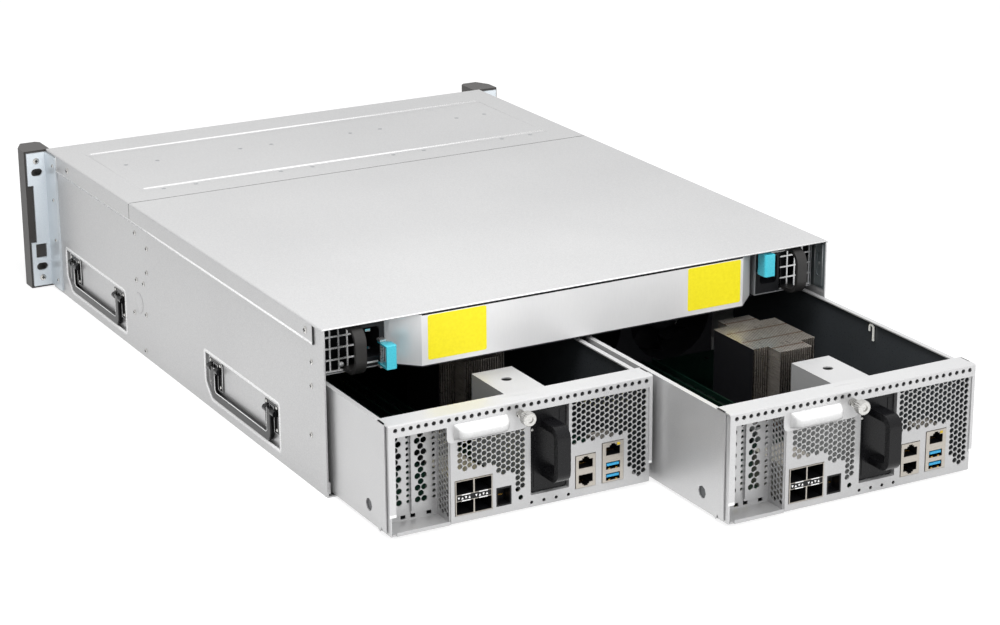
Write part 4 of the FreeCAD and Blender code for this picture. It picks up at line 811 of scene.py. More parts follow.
def memory_parts():
    """Four memory sticks with their chips in sockets: boards, chips and sockets."""
    boards, chips, sockets = [], [], []
    chip_y = np.repeat(-240.0 + 15.4 * np.arange(8), 2)
    face = np.tile([-1.9, 0.65], 8)
    for x in 48.6 - 9.5 * np.arange(4):
        boards.append(block(centred(x, 1.3), (-245.3, -112.0), (16.0, 39.4)))
        chips.append(block((x + face, x + face + 1.25), (chip_y, chip_y + 11.0), (22.0, 35.0)))
        sockets.append(block(centred(x, 6.0), (-248.8, -108.5), (board_top, 16.4)))
        sockets += [block(centred(x, 4.4), (y, y + 3.8), (board_top, 24.0))
                    for y in (-252.5, -108.5)]
    return boards, chips, sockets


def capacitor_parts():
    """Two rows of upright round cans, eased at foot and top."""
    pitch = 12.0
    rows = [(2.0, -214.0 + pitch * i) for i in range(10)]
    rows += [(-66.0, -206.0 + pitch * i) for i in range(8)]
    can = turned([3.6, 3.9, 3.9, 3.4], [0.0, 0.4, 9.4, 9.9], 16)
    return [facing(can, "+z", (x, y, board_top)) for x, y in rows]


def mainboard(name, at):
    """Board with its tongue under the ports, its components and the pieces of every port."""
    boards, chips, sockets = memory_parts()
    shells, inserts, tongues, contacts, lamps, marks = port_pieces()
    edge = -26.2
    main = block(wide(104.2), (-313.5, edge), board_z)
    tongue = block((usb_x[0], sfp_x[1]), (edge, -3.8), board_z)
    slot = "circuit_board"
    dressed(name + "_board", [main, tongue, *boards], board, name, slot, at,
            instead=name + "_mainboard")
    for suffix, parts, finish in (("_chips", [*chip_parts(), *chips, *sockets], socket_black),
                                  ("_capacitors", capacitor_parts(), inner_zinc),
                                  ("_port_shells", shells, port_nickel),
                                  ("_port_inserts", inserts, socket_black),
                                  ("_port_tongues", tongues, blue_nylon),
                                  ("_port_contacts", contacts, gold),
                                  ("_port_lamps", lamps, amber_lens),
                                  ("_port_marks", marks, mark_and_highlight_white)):
        dressed(name + suffix, parts, finish, name, slot, at)


# Heatsink: plan shaped like a plus, its middle, and the half lengths of its long and short arms
sink_x, sink_y = -28.5, -160.0
sink_long, sink_short = 43.5, 27.5
sink_core = 15.6
sink_low, sink_top = 20.0, 77.5
fin_count = 29
fin_pitch = 2.0
fin_half = 0.25


def heatsink(name, at):
    """Fin stack: thin upright fins at an even pitch, their top and end edges folded over, on a
    copper base with three pipes through them and rows of tabs between them."""
    x = sink_x + fin_pitch * (np.arange(fin_count) - (fin_count - 1) / 2)
    reach = np.where(np.abs(x - sink_x) < sink_core, sink_long, sink_short)
    y = (sink_y - reach, sink_y + reach)
    fins = [block((x - fin_half, x + fin_half), y, (sink_low, sink_top)),
            block((x - fin_half, x + 0.75), y, (sink_top, sink_top + 0.5)),
            block((x - fin_half, x + 0.5), (y[1] - 0.4, y[1]), (sink_low + 4.0, sink_top))]
    slot = "bronze_fins"
    dressed(name + "_fins", fins, bronze, name, slot, at, instead=name + "_heatsink")
    rows = sink_y + np.array([-33.0, -11.0, 11.0, 33.0])
    tab_x, tab_y = [grid.ravel() for grid in np.meshgrid(x[:-1], rows, indexing="ij")]
    keep = (np.abs(tab_x - sink_x) < sink_core) | (np.abs(tab_y - sink_y) < 25.0)
    tab_x, tab_y = tab_x[keep], tab_y[keep]
    tabs = block((tab_x + 0.2, tab_x + 1.0), centred(tab_y, 1.6), (77.9, 78.2))
    short_y = centred(sink_y, 2 * sink_short)
    base_z = (14.4, sink_low)
    base = [block(centred(sink_x, 31.0), centred(sink_y, 2 * sink_long), base_z),
            block((sink_x - 29.0, sink_x + 29.0), short_y, base_z)]
    pipes = [rod((-56.4, y, z), (-0.6, y, z), 3.0, 16)
             for y, z in ((-176.0, 34.0), (sink_y, 44.0), (-144.0, 34.0))]
    dressed(name + "_copper", [tabs, *base, *pipes], copper, name, slot, at)
    # Black plates at the fin stack's two ends: painted shade on its dark sides.
    plates = [block(plate_x, short_y, (sink_low, 77.3))
              for plate_x in ((-57.1, -56.8), (-0.2, 0.1))]
    dressed(name + "_end_plates_painted_shade", plates, fan_black, name, slot, at)


def battery(name, at):
    """Battery pack with its D-shaped pull, two ribs and a screw on its face."""
    body, slot = name + "_battery", "battery_plastic"
    face = -4.0
    pack = block(inset(battery_x, 0.5), (-86.0, face), inset(battery_z, 0.5))
    dressed(body + "_pack", [pack], black_nylon, body, slot, at, bevel=0.8, instead=body)
    outline = strap_outline(face - 0.5, 24.5, (25.1, 68.1), 5.5, 9.0)
    pull = sheet("x", outline, [], (-27.5, -16.5))
    dressed(body + "_pull", [pull], black_nylon, body, slot, at, bevel=1.2)
    ribs = [block((x, x + 2.0), (face, face + 0.4), (17.0, 74.0)) for x in (-33.5, -12.0)]
    dressed(body + "_ribs", ribs, black_nylon, body, slot, at)
    pin = facing(head(1.1, 0.5, 12), "+y", (-9.0, face, 62.0))
    dressed(body + "_screw", [pin], nickel, body, slot, at, smooth=True)


def fan_rotor(name, at):
    """Hub with seven curved blades: across each blade the angle leads by a bow, and its pitch
    eases to the tip."""
    hub_radius, tip_radius = 15.0, 36.6
    blade_count, blade_half = 7, 0.5
    r, t = np.meshgrid(np.linspace(hub_radius, tip_radius, 9), np.linspace(0, 1, 9), indexing="ij")
    ease = (r - hub_radius) / (tip_radius - hub_radius)
    lead = (0.62 - 0.1 * ease) * (t - 0.5) + 0.16 * np.sin(math.pi * t) * ease + 0.25 * ease ** 2
    depth = (18.0 - 3.0 * ease) * (t - 0.5)
    blades = []
    for k in range(blade_count):
        angle = lead + 2 * math.pi * k / blade_count
        blades.append(closed_skin(*[
            np.stack([r * np.sin(angle), depth + offset, r * np.cos(angle)], -1)
            for offset in (blade_half, -blade_half)]))
    hub = turned([13.5, 15.6, 16.0, 16.0, 2.1, 2.1], [12.0, 11.4, 10.0, -12.0, -12.0, 12.0], 40)
    dressed(name + "_blades", [hub, *blades], fan_black, name, "fan_plastic", at, instead=name)


def controller_inside(name, at):
    """Film, board, heatsink, battery and both fan rotors of one controller."""
    dressed(name + "_film", film_parts(), black_film, name, "canister_sheet", at)
    mainboard(name, at)
    heatsink(name, at)
    battery(name, at)
    for index in (1, 2):
        rotor = "%s_fan_rotor_%d" % (name, index)
        low, high = node_box(rotor)
        fan_rotor(rotor, (low + high) / 2)


def wire_clip(at):
    """White cable hook on the second controller's inner wall: a thin bar bent over at its top."""
    bend = 2.5
    t = np.linspace(0, math.pi, 13)
    hook = np.column_stack([0 * t, bend * np.cos(t), bend * np.sin(t)])
    path = np.vstack([[(0.0, bend, -10.0)], hook, [(0.0, -bend, -3.0)]])
    path = path + np.array([1.5 - inner_half, -124.0, 80.0])
    dressed("wire_clip", [swept(path, rounded(wide(0.6), wide(0.9), 0.3))], white_nylon,
            "controller_b", "canister_sheet", at)


# Power supplies: made for the unit on the +X side, and turned over for the other

psu_low, psu_high = node_box("psu_a_case")
latch_low, latch_high = node_box("psu_a_latch")
psu_x, psu_z = [(psu_low[axis], psu_high[axis]) for axis in (0, 2)]
psu_face = node_box("psu_a_handle")[0][1]
psu_flush = psu_face - 0.2
psu_middle = sum(psu_z) / 2
psu_skin = 0.8
psu_hollow = psu_face - 30.0
lined_x, lined_z = inset(psu_x, 1.3), inset(psu_z, 1.3)
pin_x, pin_y = psu_x[0] + 4.5, psu_face + 2.8
latch_sheet = 1.5
latch_foot = psu_face + 6.5


def psu_turned(parts, letter):
    """Half a turn about the unit's own lengthwise axis for the second bay."""
    if letter == "a":
        return parts
    return [(p * np.array([-1, 1, -1]) + np.array([0, 0, 2 * psu_middle]), f) for p, f in parts]


def psu_box_parts():
    """Case walls; a black lining and a black block filling the inside, painted shade; the inlet's
    frame and cup; and the inlet's three blades.
    """
    inner_x, inner_z = inset(psu_x, psu_skin), inset(psu_z, psu_skin)
    back = psu_low[1]
    inner = rounded(inner_x, inner_z)
    case = [sheet("y", rounded(psu_x, psu_z), [inner], (back, psu_face)),
            block(psu_x, (back, back + psu_skin), psu_z)]
    inlet_x, inlet_z = (psu_x[0] + 3.0, psu_x[0] + 23.0), centred(psu_middle, 27.0)
    inlet = rounded(inlet_x, inlet_z, 3.0)
    cup = rounded(inset(inlet_x, 2.0), inset(inlet_z, 2.0), 3.0)
    plate = rounded((lined_x[0], psu_x[0] + 25.2), lined_z)
    inside = [sheet("y", inner, [rounded(lined_x, lined_z)], (psu_hollow, psu_flush)),
              block(inner_x, (back + psu_skin, psu_hollow), inner_z),
              sheet("y", plate, [inlet], (psu_face - 1.2, psu_flush)),
              sheet("y", inlet, [cup], (psu_face - 18.0, psu_face))]
    blades = [block(centred(sum(inlet_x) / 2 + dx, 4.0), (psu_face - 20.0, psu_face - 7.0),
                    centred(psu_middle + dz, 2.0))
              for dx, dz in ((-2.0, -6.75), (2.0, 0.0), (-2.0, 6.75))]
    return case, inside, blades


def psu_guard_parts():
    """Wire guard over the fan, a screw, and the latch's lugs with their pin and spring wire."""
    bars_x = psu_x[1] - 2.1 - 7.1 * np.arange(5)
    bars_z = psu_z[0] + 2.1 + 8.9 * np.arange(5)
    upright = block(centred(bars_x, 1.2), (psu_face - 1.2, psu_flush), lined_z)
    across = block((bars_x[-1], lined_x[1]), (psu_face - 1.1, psu_face + 0.1),
                   centred(bars_z, 1.2))
    screw = facing(head(2.2, 1.4), "+y", (psu_x[1] - 18.0, psu_face, psu_z[0] + 6.5))
    lugs = [block(centred(pin_x, 5.0), (psu_face - 1.0, psu_face + 5.3), (low, low + 1.5))
            for low in (psu_z[0], psu_z[0] + 20.1)]
    pin = rod((pin_x, pin_y, psu_z[0] + 1.0), (pin_x, pin_y, psu_z[0] + 20.6), 1.5, 20)
    wire_y, wire_z = psu_face + 3.0, psu_z[0] + 5.0
    wire = rod((psu_x[0] + 8.0, wire_y, wire_z), (psu_x[0] + 26.0, wire_y, wire_z), 0.8, 10)
    return [upright, across, screw, *lugs, pin, wire]


def psu_latch_parts():
    """Release latch: a plate bent round one side, between two arms on the pin."""
    left, right, face = latch_low[0], latch_high[0], latch_high[1]
    bend = 2.0
    corner = quarter(bend, 5) * [-1, 1] + [left + bend, face - bend]
    fold = (left + latch_sheet, face - latch_sheet)
    foot = (left + latch_sheet, latch_foot)
    plate = np.vstack([[(right, face)], corner[::-1], [(left, latch_foot), foot, fold],
                       [(right, face - latch_sheet)]])
    eye_x, eye_y = centred(pin_x, 4.6), (psu_face + 0.5, psu_face + 3.4)
    arm = np.array([(right, face - latch_sheet), fold, foot, (eye_x[0], eye_y[1]),
                    (eye_x[0], eye_y[0]), (eye_x[1], eye_y[0]), (eye_x[1], eye_y[1]),
                    (right, latch_foot)])
    hole = ring(pin_x, pin_y, 1.6, 20)
    low, high = latch_low[2], latch_high[2]
    return [sheet("z", plate, [], (low, high)), sheet("z", arm, [hole], (low, low + latch_sheet)),
            sheet("z", arm, [hole], (high - latch_sheet, high))]


def power_supply(letter):
    """Case, lining, inlet blades, guard, pull strap and release latch of one power supply."""
    name = "psu_" + letter
    outline = strap_outline(psu_face - 1.0, 23.0, inset(psu_z, 1.5), 3.0, 12.0, 12)
    strap = [sheet("x", outline, [], (psu_x[0] + 25.9, psu_x[0] + 34.9))]
    groups = (*psu_box_parts(), psu_guard_parts(), strap, psu_latch_parts())
    case, inside, blades, guard, strap, latch = [psu_turned(parts, letter) for parts in groups]
    dressed(name + "_walls", case, inner_zinc, name, "psu_steel", instead=name + "_case")
    # Black inlet plate, and the lining and filler painted black as shade inside the supply.
    dressed(name + "_black_face_and_shade", inside, black_coat_and_shade, name, "psu_steel")
    dressed(name + "_blades", blades, nickel, name, "psu_steel")
    dressed(name + "_guard", guard, wire_nickel, name, "psu_steel")
    dressed(name + "_strap", strap, strap_rubber, name, "black_strap", bevel=0.7,
            instead=name + "_handle")
    dressed(name + "_release", latch, cyan_abs, name + "_latch", "cyan_plastic", bevel=0.35,
            instead=name + "_latch")


# Chassis: screws, rivets and pressed dimples as (y, z) on the wall or x and y on the cover

SIDE_SCREWS = [(271.7, 100.2), (270.3, 81.1), (267.6, 41.6), (-80.0, 107.0), (-53.8, 99.9),
               (-56.6, 78.1), (-81.1, 65.2), (-65.0, 66.1), (-61.6, 39.6), (-66.6, 6.0),
               (-88.7, 34.4)]
EAR_RIVETS = [(-274.0, 119.4), (-276.0, 86.9), (-276.0, 49.0), (-276.0, 11.3)]
DIMPLES_X = (-180.0, -150.4, -70.2, -39.8, 39.8, 70.2, 150.4, 180.0)
DIMPLES_Y = (-204.0, -115.6)
ear_fold = 2.0
screw_shank = 1.45
bead_half = 200.0
bead_reach = 3.6
bead_rise = 0.8
bead_fade = 4.0
bead_crest = (2.2, 0.5)
cover_bend = 1.5
cover_sheet = 1.0
skirt_front = 26.0
skirt_rear = 17.0
handle_middles = {"rear": rear_y - 156.0, "front": front_y + 110.0}
handle_leg = 54.5
handle_pin_z = 36.0


def chassis_piece(name, parts, finish, slot="zinc_sheet", **more):
    """Piece that rides on the chassis."""
    dressed(name, parts, finish, "chassis", slot, **more)


def screw_head(place, radius):
    """Pan head on the +X wall with the cross cut in it: the head, then the cross as a thin black
    inlay, painted shade in the cut.
    """
    cap = facing(head(radius, 0.9, 18), "+x", place)
    x = (place[0] + 0.84, place[0] + 0.94)
    long, short = 1.1 * radius, 0.32 * radius
    cross = [block(x, centred(place[1], a), centred(place[2], b))
             for a, b in ((long, short), (short, long))]
    return cap, joined(cross)


def wall_screws():
    """Screws and rivets on both walls, the cover's screws and those behind the ears."""
    cover_places = [(half_width, y, cover_top - 8.0) for y in (rear_y - 29.0, front_y + 55.0)]
    screws = [((side_out, y, z), 2.3) for y, z in SIDE_SCREWS]
    screws += [((side_out + ear_fold, y, z), 1.7) for y, z in EAR_RIVETS]
    screws += [(place, 3.0) for place in cover_places]
    caps, cross_shades = [], []
    for place, radius in screws:
        cap, cross = screw_head(place, radius)
        caps += both_walls(cap)
        cross_shades += both_walls(cross)
    shank = turned([screw_shank, screw_shank], [-4.0, 0.05], 14)
    for place in cover_places:
        caps += both_walls(facing(shank, "+x", place))
    shank = turned([screw_shank, screw_shank], [-6.0, 0.05], 14)
    ear_x = node_box("rack_ear_right")[1][0] - 8.75
    cut = (front_y + 0.74, front_y + 0.84)
    for z in (10.5, cover_top - 10.5):
        for x in wide(ear_x):
            caps += [facing(part, "+y", (x, front_y, z)) for part in (head(3.0, 0.8, 20), shank)]
            cross_shades += [block(centred(x, a), cut, centred(z, b))
                        for a, b in ((3.0, 0.8), (0.8, 3.0))]
    chassis_piece("wall_screw_heads", caps, nickel, "screw_steel", smooth=True,
                  instead="case_screws")
    # Black crosses in the screw heads: painted shade in the cuts.
    chassis_piece("wall_screw_cross_shade", cross_shades, socket_black, "screw_steel")


def formed_cover(y, flange_y, beads):
    """Cover as one folded sheet: a section across x, rounded down at both sides, is carried along
    y. Its height is the top less a roll at both ends of the outer skin, plus for each bead a hump
    (1 - v^4) over v across it, fading at its ends."""
    tips = bead_half - 4.4 + 0.4 * np.arange(13)
    half = np.concatenate([np.linspace(0, bead_half - 4.8, 12), tips,
                           [half_width - cover_bend - 0.3]])
    across = np.concatenate([-half[:0:-1], half])
    near = np.linspace(-bead_reach - 0.5, bead_reach + 0.5, 19)
    ends = np.array([0.0, 0.2, 0.5, 1.0, 1.3])
    along = np.sort(np.concatenate([y[0] + ends, y[1] - ends, *[near + b for b in beads]]))
    roll = 0.7 * np.clip(1 - np.minimum(along - y[0], y[1] - along), 0, 1) ** 2
    rise = 0 * along + sum(np.clip(1 - ((along - b) / bead_reach) ** 4, 0, 1) for b in beads)
    fade = np.sqrt(np.clip((bead_half - np.abs(across)) / bead_fade, 0, 1))
    skins = []
    for depth in (0.0, cover_sheet):
        arc = quarter(cover_bend - depth, 5)[:, ::-1]
        arc = arc + [half_width - cover_bend, cover_top - cover_bend]
        x = np.concatenate([-arc[::-1, 0], across, arc[:, 0]])
        z = np.concatenate([arc[::-1, 1], 0 * across + cover_top - depth, arc[:, 1]])
        hump = np.concatenate([0 * arc[:, 0], fade, 0 * arc[:, 0]])
        rolled = (1 - depth / cover_sheet) * roll
        height = z[None, :] - rolled[:, None] + bead_rise * rise[:, None] * hump[None, :]
        skins.append(np.stack(np.broadcast_arrays(x, along[:, None], height), -1))
    flange = sheet("x", rounded(flange_y, (skirt_low, cover_top - cover_bend + 0.1), 1.0), [],
                   (side_out, half_width))
    return [closed_skin(*skins)], both_walls(flange)


def covers():
    """Both covers with their beads, and the pressed lines that join the beads' ends."""
    front_span = (front_cover_low[1], front_cover_high[1])
    rear_span = (rear_cover_low[1], rear_cover_high[1])
    beads = (front_span[0] + 42.0, front_span[1] - 33.0)
    for cover, span, flange_y, ribs in (
            ("top_cover_front", front_span, (front_span[0] + skirt_front, front_span[1]), beads),
            ("top_cover_rear", rear_span, (rear_span[0], rear_span[1] - skirt_rear), ())):
        lid, flange = formed_cover(span, flange_y, ribs)
        chassis_piece(cover + "_folded", lid, zinc, smooth=True, instead=cover)
        chassis_piece(cover + "_flanges", flange, zinc)
    # White ridges along the beads' crests: painted highlight.
    crests = [swept([(x, y, cover_top + bead_crest[1]) for x in wide(bead_half - bead_fade)],
                    ring(0, 0, 1) * bead_crest) for y in beads]
    chassis_piece("bead_crests_painted_highlight", crests, mark_and_highlight_white, smooth=True)
    level = cover_top - 0.1
    lines = [rod((x, beads[0], level), (x, beads[1], level), 0.25, 8)
             for x in wide(bead_half - 2.0)]
    chassis_piece("cover_outline", lines, zinc, smooth=True)


def cover_details():
    """Pressed marks on the front cover and the walls, the rounded edges of both covers in white as
    painted highlight, and black strips in the gaps between the sheets as painted shade."""
    spots = [facing(head(2.0, 0.35), "+z", (x, y, cover_top)) for x in DIMPLES_X for y in DIMPLES_Y]
    chassis_piece("cover_marks", spots, inner_zinc, smooth=True)
    emboss = facing(head(9.0, 0.9, 32), "+x", (side_out, -76.8, 45.9))
    chassis_piece("wall_emboss", both_walls(emboss), zinc, smooth=True)
    hem = 0.5
    left, right = wide(half_width - hem)
    y, z = rear_y - hem, cover_top - hem
    edges = [rod((left, y, z), (right, y, z), hem, 12)]
    y, z = front_y + skirt_front, skirt_low + 0.8
    for x in wide(half_width - 0.7):
        edges.append(rod((x, y, z), (x, rear_y - skirt_rear, z), 1.3, 16))
        edges.append(rod((x, y + 0.4, skirt_low + 1.0), (x, y + 0.4, cover_top - 1.5), 0.9))
    hem = 0.6
    edges += [rod((x, rear_y - hem, 2.0), (x, rear_y - hem, cover_top - 2.0), hem)
              for x in wide(side_out - hem)]
    # White rods along the covers' and walls' edges: painted highlight.
    chassis_piece("cover_edges_painted_highlight", edges, mark_and_highlight_white, smooth=True)
    # Black strips in the gaps between the covers, above the crossbeam and at the flanges' ends:
    # painted shade.
    seam = [block(wide(half_width - 1.2), (seam_y - 0.7, seam_y + 0.3),
                  (cover_top - 0.95, cover_top - 0.2)),
            block(wide(beam_half), (rear_y - 0.5, rear_y + 0.06),
                  (beam_top - 0.6, cover_top - 1.05))]
    for x in ((-half_width, hem - half_width), (half_width - hem, half_width)):
        x = inset(x, -0.02)
        seam.append(block(x, (seam_y - 0.6, seam_y + 0.2), (skirt_low + 2.2, cover_top - 0.9)))
        seam.append(block(x, (rear_y - skirt_rear, rear_y - 15.8), (skirt_low, cover_top - 1.2)))
    chassis_piece("cover_gaps_painted_shade", seam, socket_black)


def recess_path(middle):
    """Outline of a handle recess in (y, z): each corner is cut and bridged by a parabola,
    (1-t)^2 start + 2t(1-t) corner + t^2 end."""
    half, cut = 73.0, 3.0
    corners = np.array([(middle - 61.0, 8.0), (middle + half, 8.0), (middle + half, 47.0),
                        (middle - half, 47.0), (middle - half, 20.0)])
    before, after = [np.roll(corners, shift, 0) - corners for shift in (1, -1)]
    start, end = [corners + cut * way / np.linalg.norm(way, axis=1)[:, None]
                  for way in (before, after)]
    t = np.linspace(0, 1, 6)[None, :, None]
    arcs = (1 - t) ** 2 * start[:, None] + 2 * t * (1 - t) * corners[:, None]
    return (arcs + t ** 2 * end[:, None]).reshape(-1, 2)


def handle_rims():
    """Rolled rim round every handle recess, coloured white as a painted highlight."""
    rims = []
    for middle in handle_middles.values():
        loop = recess_path(middle)
        path = np.column_stack([np.full(len(loop), side_out - 0.35), loop])
        rims += both_walls(swept(path, ring(0, 0, 1, 10) * [0.75, 1.7], closed=True))
    chassis_piece("recess_rims_painted_highlight", rims, mark_and_highlight_white, smooth=True)


def hinge_plates():
    """Inverted-U plates with four rivets each and two knuckles round the handle's pin."""
    floor = side_out - 2.8
    face = floor + 1.0
    half, slot, low, shoulder, radius = 13.0, 4.1, 19.5, 40.5, 3.0
    arc = quarter(radius)
    knuckle = turned([2.65, 2.65], [0.0, 6.0], 24)
    plates, rivets, rims = [], [], []
    for leg in [middle + s * handle_leg for middle in handle_middles.values() for s in (-1, 1)]:
        outline = np.vstack([[(-half, low), (-slot, low), (-slot, 40.0), (slot, 40.0), (slot, low),
                              (half, low)], arc + [half - radius, shoulder],
                             (arc * [-1, 1])[::-1] + [radius - half, shoulder]]) + [leg, 0]
        plates += both_walls(sheet("x", outline, [], (floor, face)))
        for side, y in ((-1, leg - slot - 6.0), (1, leg + slot)):
            plates += both_walls(facing(knuckle, "+y", (side_out - 0.5, y, handle_pin_z)))
            rivets += both_walls(*[facing(head(1.5, 0.9, 14), "+x", (face, leg + side * 9.4, z))
                                   for z in (22.6, 40.6)])
        loop = np.column_stack([np.full(len(outline), face - 0.1), outline])
        rims += both_walls(swept(loop, ring(0, 0, 0.35, 8), closed=True))
    slot = "nickel_steel"
    # The plates take the near-black nickel, a painted reflection, and their rims white as painted
    # highlight.
    chassis_piece("hinge_plates_formed", plates, nickel_painted_dark_reflection, slot, instead="handle_plates")
    chassis_piece("hinge_rims_painted_highlight", rims, mark_and_highlight_white, slot, smooth=True)
    chassis_piece("hinge_rivets", rivets, nickel, slot, smooth=True)


def carry_handles():
    """Bails: a rounded bar seven by four millimetres carried down one leg, round two bends and up
    the other, painted near black as a reflection of dark surroundings, with pins at its ends and a
    white line along its inner edge as painted highlight."""
    bend = quarter(5.5, 8) * [1, -1]
    corner, leg_top = np.array([handle_leg - 5.5, 19.5]), 38.0
    line = np.vstack([[(handle_leg, leg_top)], corner + bend,
                      (corner * [-1, 1]) + (bend * [-1, 1])[::-1], [(-handle_leg, leg_top)]])
    inner = np.array([(51.2, leg_top), (51.2, 19.6), (49.1, 17.4), (-49.1, 17.4), (-51.2, 19.6),
                      (-51.2, leg_top)])
    pin = turned([1.6, 1.6], [-9.5, 9.5], 16)
    for end, middle in handle_middles.items():
        for side, sign in (("right", 1), ("left", -1)):
            name = "carry_handle_%s_%s" % (side, end)
            x = sign * (side_out - 0.5)
            path, glint = [np.column_stack([np.full(len(run), place), run + [middle, 0]])
                           for run, place in ((line, x), (inner, x + sign * 1.6))]
            bar = swept(path, rounded(wide(2.0), wide(3.5), 0.9))
            pins = [facing(pin, "+y", (x, middle + leg, handle_pin_z)) for leg in wide(handle_leg)]
            dressed(name + "_bar", [bar, *pins], nickel_painted_dark_reflection, name, "nickel_steel", instead=name)
            dressed(name + "_edge", [swept(glint, ring(0, 0, 0.4, 8))], mark_and_highlight_white, name,
                    "nickel_steel", smooth=True)


def corner_guides():
    """Slotted strips, and dark liners inside the walls beside the power supplies that are painted
    shade.
    """
    inside = side_out - 1.2
    guide_x = (inside - 1.1, inside - 0.3)
    y = (rear_y - 13.0, rear_y - 2.5)
    slot = rounded(inset(y, 3.0), (100.0, 120.0), 2.0)
    guide = sheet("x", rounded(y, (92.0, 127.0), 0.8), [slot], guide_x)
    shade_liner = block((guide_x[1], inside - 0.05), (rear_y - 40.0, rear_y - 0.8),
                  (cover_top - 41.0, cover_top - 1.2))
    screw = facing(head(1.6, 0.6, 14), "-x", (guide_x[1], sum(y) / 2, 110.0))
    chassis_piece("corner_guides", both_walls(guide, shade_liner), dark_steel_and_shade, "inner_sheet")
    trims = [rod((guide_x[0], a, 92.5), (guide_x[0], a, 126.5), 0.3, 8) for a in y]
    chassis_piece("corner_trims", both_walls(*trims, screw), inner_zinc, "inner_sheet",
                  smooth=True)


def stickers():
    """Two blank yellow stickers on the crossbeam."""
    for number, x in ((1, (87.5, 136.8)), (2, (-139.6, -90.8))):
        part = sheet("y", rounded(x, (93.2, 128.0), 1.5), [], (rear_y, rear_y + 0.15))
        chassis_piece("blank_sticker_%d" % number, [part], yellow_vinyl)


def tray(name):
    """Drive tray: pierced bezel with rails, recessed latch bar with its release, lamps and disk."""
    low, high = node_box(name)
    x, z = (low[0], high[0]), (low[2], high[2])
    y = low[1]
    middle = sum(z) / 2
    wall = 2.0
    floor_y, bezel_y = y + 3.5, y + 10.0
    first_z = middle - 2 * VENT_ROW
    cells = [soft_hexagon(x[1] - 7.0 - 4.4 * i, first_z + VENT_ROW * k - (i % 2) * 2.2, VENT_RADIUS)
             for i in range(5) for k in range(5)]
    pocket = rounded((x[0] + 6.0, x[1] - 34.0), centred(middle, 18.0), 1.5)
    outline = rounded(x, z, 1.2)
    bezel = [sheet("y", outline, [pocket, *cells], (y, floor_y)),
             sheet("y", outline, cells, (floor_y, bezel_y))]
    bezel += [block(rail_x, (bezel_y, y + 180.0), (z[0], z[1] - wall))
              for rail_x in ((x[0], x[0] + wall), (x[1] - wall, x[1]))]
    slot = "tray_plastic"
    dressed(name + "_bezel", bezel, tray_abs, name, slot, instead=name)
    bar = block((x[0] + 6.4, x[1] - 46.0), (y + 0.5, floor_y), centred(middle, 12.0))
    dressed(name + "_latch_bar", [bar], grey_abs, name, slot, bevel=0.8)
    key = block((x[1] - 45.0, x[1] - 35.0), (y + 0.8, floor_y), centred(middle, 9.0))
    dressed(name + "_release", [key], cyan_abs, name, slot, bevel=0.6)
    lamps = [block(centred(x[0] + 3.0, 2.0), (y, y + 0.3), centred(middle + dz, 3.0))
             for dz in (-5.0, 5.0)]
    dressed(name + "_lamps", lamps, green_lens, name, slot)
    disk = block(inset(x, wall), (y + 40.0, y + 187.0), (z[0], z[0] + 26.1))
    dressed(name + "_disk", [disk], cast_aluminium, name, slot, bevel=0.8)


def cap_details():
    """Lamps on the ear caps' fronts and the turned knob of the power button."""
    face = node_box("ear_cap_right")[0][1]
    lamps = [block(centred(232.5, 1.6), (face - 0.2, face + 0.2), centred(z, 3.0))
             for z in (72.0, 66.0, 60.0, 54.0)]
    lamps += both_walls(*lamps[:2])[1::2]
    chassis_piece("cap_lamps", lamps, green_lens, "cap_plastic")
    low, high = node_box("power_button")
    middle = (low + high) / 2
    knob = turned([4.0, 4.0, 3.7, 3.0, 1.6, 0.3], [0.0, 8.4, 8.9, 9.0, 8.7, 8.6], 40)
    part = facing(knob, "-y", (middle[0], high[1], middle[2]))
    dressed("power_button_cap", [part], grey_abs, "power_button", "button_plastic",
            instead="power_button")


# Camera, floor and light, in metres

WHITE = (1, 1, 1, 1)
WORLD_STRENGTH = 0.45
FLOOR_COLOUR = (0.35, 0.35, 0.35, 1)
FLOOR_LIFT = 0.8
FLOOR_REACH = 6.0
# Name, place, target, diameter and watts of each lamp
LAMPS = (("top", (0.2, 0.45, 0.9), (0.15, 0.3, 0.1), 0.6, 9.0),
         ("side", (1.6, -1.2, 1.1), (0.22, -0.3, 0.1), 1.4, 8.0),
         ("face", (-0.2, 2.4, 1.4), (0.0, 0.35, 0.05), 2.0, 46.0))
CAMERA_PLACE = (0.9910, 1.9689, 0.7589)
CAMERA_AHEAD = (-0.4545, -0.8323, -0.3172)
CAMERA_RIGHT = (-0.8766, 0.4812, -0.0068)
CAMERA_LENS = 96.81
CAMERA_SENSOR = 36.0


def background_share(tree):
    """One on the rays that show the background, straight to the eye or by way of gloss and glass;
    else nought."""
    path = node(tree, "ShaderNodeLightPath").outputs
    near = {0: path["Is Camera Ray"], 1: path["Is Glossy Ray"]}
    near = node(tree, "ShaderNodeMath", near, operation="MAXIMUM").outputs["Value"]
    every = {0: near, 1: path["Is Transmission Ray"]}
    return node(tree, "ShaderNodeMath", every, operation="MAXIMUM").outputs["Value"]


def surroundings(scene):
    """White world for the eye and for reflections, dimmer where it lights the part."""
    world = bpy.data.worlds.new("studio")
    world.use_nodes = True
    tree = world.node_tree
    tree.nodes.clear()
    strength = node(tree, "ShaderNodeMath", {0: WORLD_STRENGTH, 1: background_share(tree)},
                    operation="MAXIMUM")
    light = node(tree, "ShaderNodeBackground",
                 {"Color": WHITE, "Strength": strength.outputs["Value"]})
    node(tree, "ShaderNodeOutputWorld", {"Surface": light.outputs["Background"]})
    scene.world = world


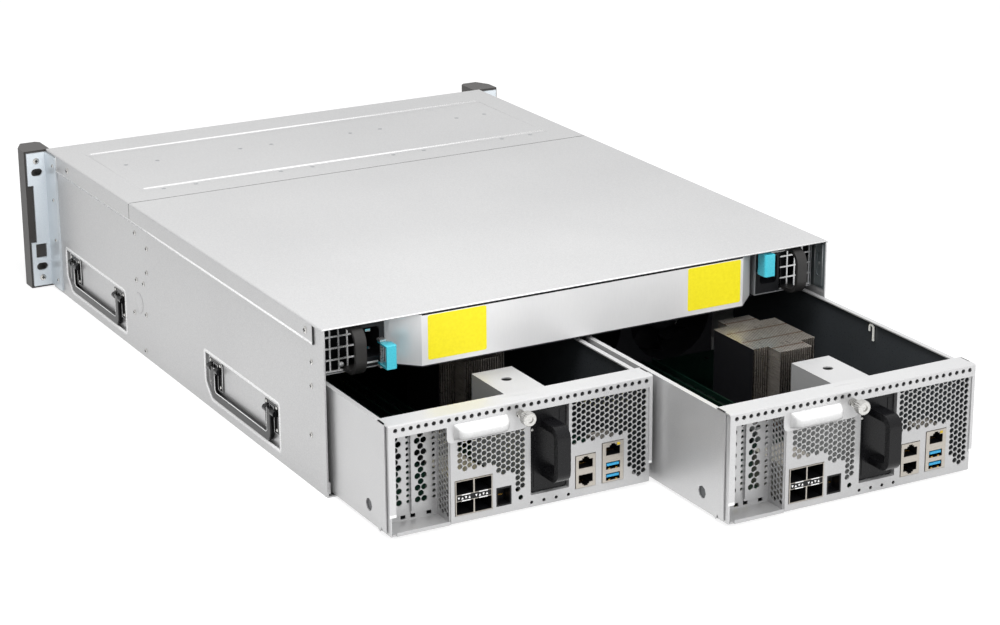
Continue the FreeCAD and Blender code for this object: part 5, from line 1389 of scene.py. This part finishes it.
def pale_floor(scene):
    """Matt floor that shows the part's shadow, lifted to white where the background shows."""
    made, tree, surface = material("pale_floor")
    base = node(tree, "ShaderNodeBsdfDiffuse", {"Color": FLOOR_COLOUR})
    lift = node(tree, "ShaderNodeMath", {0: background_share(tree), 1: FLOOR_LIFT},
                operation="MULTIPLY")
    glow = node(tree, "ShaderNodeEmission", {"Color": WHITE, "Strength": lift.outputs["Value"]})
    mixed = node(tree, "ShaderNodeAddShader",
                 {0: base.outputs["BSDF"], 1: glow.outputs["Emission"]})
    tree.links.new(mixed.outputs["Shader"], surface)
    mesh = bpy.data.meshes.new("floor")
    corners = rounded(wide(FLOOR_REACH), wide(FLOOR_REACH))
    mesh.from_pydata([(x, y, 0) for x, y in corners.tolist()], [], [(0, 1, 2, 3)])
    mesh.materials.append(made)
    floor = bpy.data.objects.new("floor", mesh)
    scene.collection.objects.link(floor)


def studio():
    """Surroundings, floor and broad soft lamps that no surface mirrors."""
    scene = bpy.context.scene
    scene.view_settings.view_transform = "Standard"
    surroundings(scene)
    pale_floor(scene)
    for name, place, target, size, power in LAMPS:
        lamp = bpy.data.lights.new(name, "AREA")
        lamp.shape = "DISK"
        lamp.size = size
        lamp.energy = power
        holder = bpy.data.objects.new(name, lamp)
        holder.location = place
        ahead = Vector(target) - Vector(place)
        holder.rotation_euler = ahead.to_track_quat("-Z", "Y").to_euler()
        holder.visible_glossy = False
        scene.collection.objects.link(holder)


def camera():
    """Long lens at the photograph's place, behind and to the left of the chassis."""
    view = bpy.data.cameras.new("camera")
    view.sensor_width = CAMERA_SENSOR
    view.lens = CAMERA_LENS
    view.clip_end = 50.0
    ahead, right = Vector(CAMERA_AHEAD), Vector(CAMERA_RIGHT)
    turn = Matrix((right, right.cross(ahead), -ahead)).transposed().to_4x4()
    holder = bpy.data.objects.new("camera", view)
    holder.matrix_world = Matrix.Translation(CAMERA_PLACE) @ turn
    bpy.context.scene.collection.objects.link(holder)
    bpy.context.scene.camera = holder


dress_nodes()
for letter in ("a", "b"):
    controller = "controller_" + letter
    low, high = node_box(controller + "_case")
    panel_rear = node_box(controller + "_rear_panel")[1][1]
    place = ((low[0] + high[0]) / 2, panel_rear - panel_front, 0.0)
    rear_panel(controller, place)
    ejector_lever(controller, place)
    thumbscrew(controller, place)
    controller_inside(controller, place)
    power_supply(letter)
wire_clip(place)
wall_screws()
covers()
cover_details()
handle_rims()
hinge_plates()
carry_handles()
corner_guides()
stickers()
for number in range(1, 17):
    tray("drive_tray_%02d" % number)
cap_details()
studio()
camera()
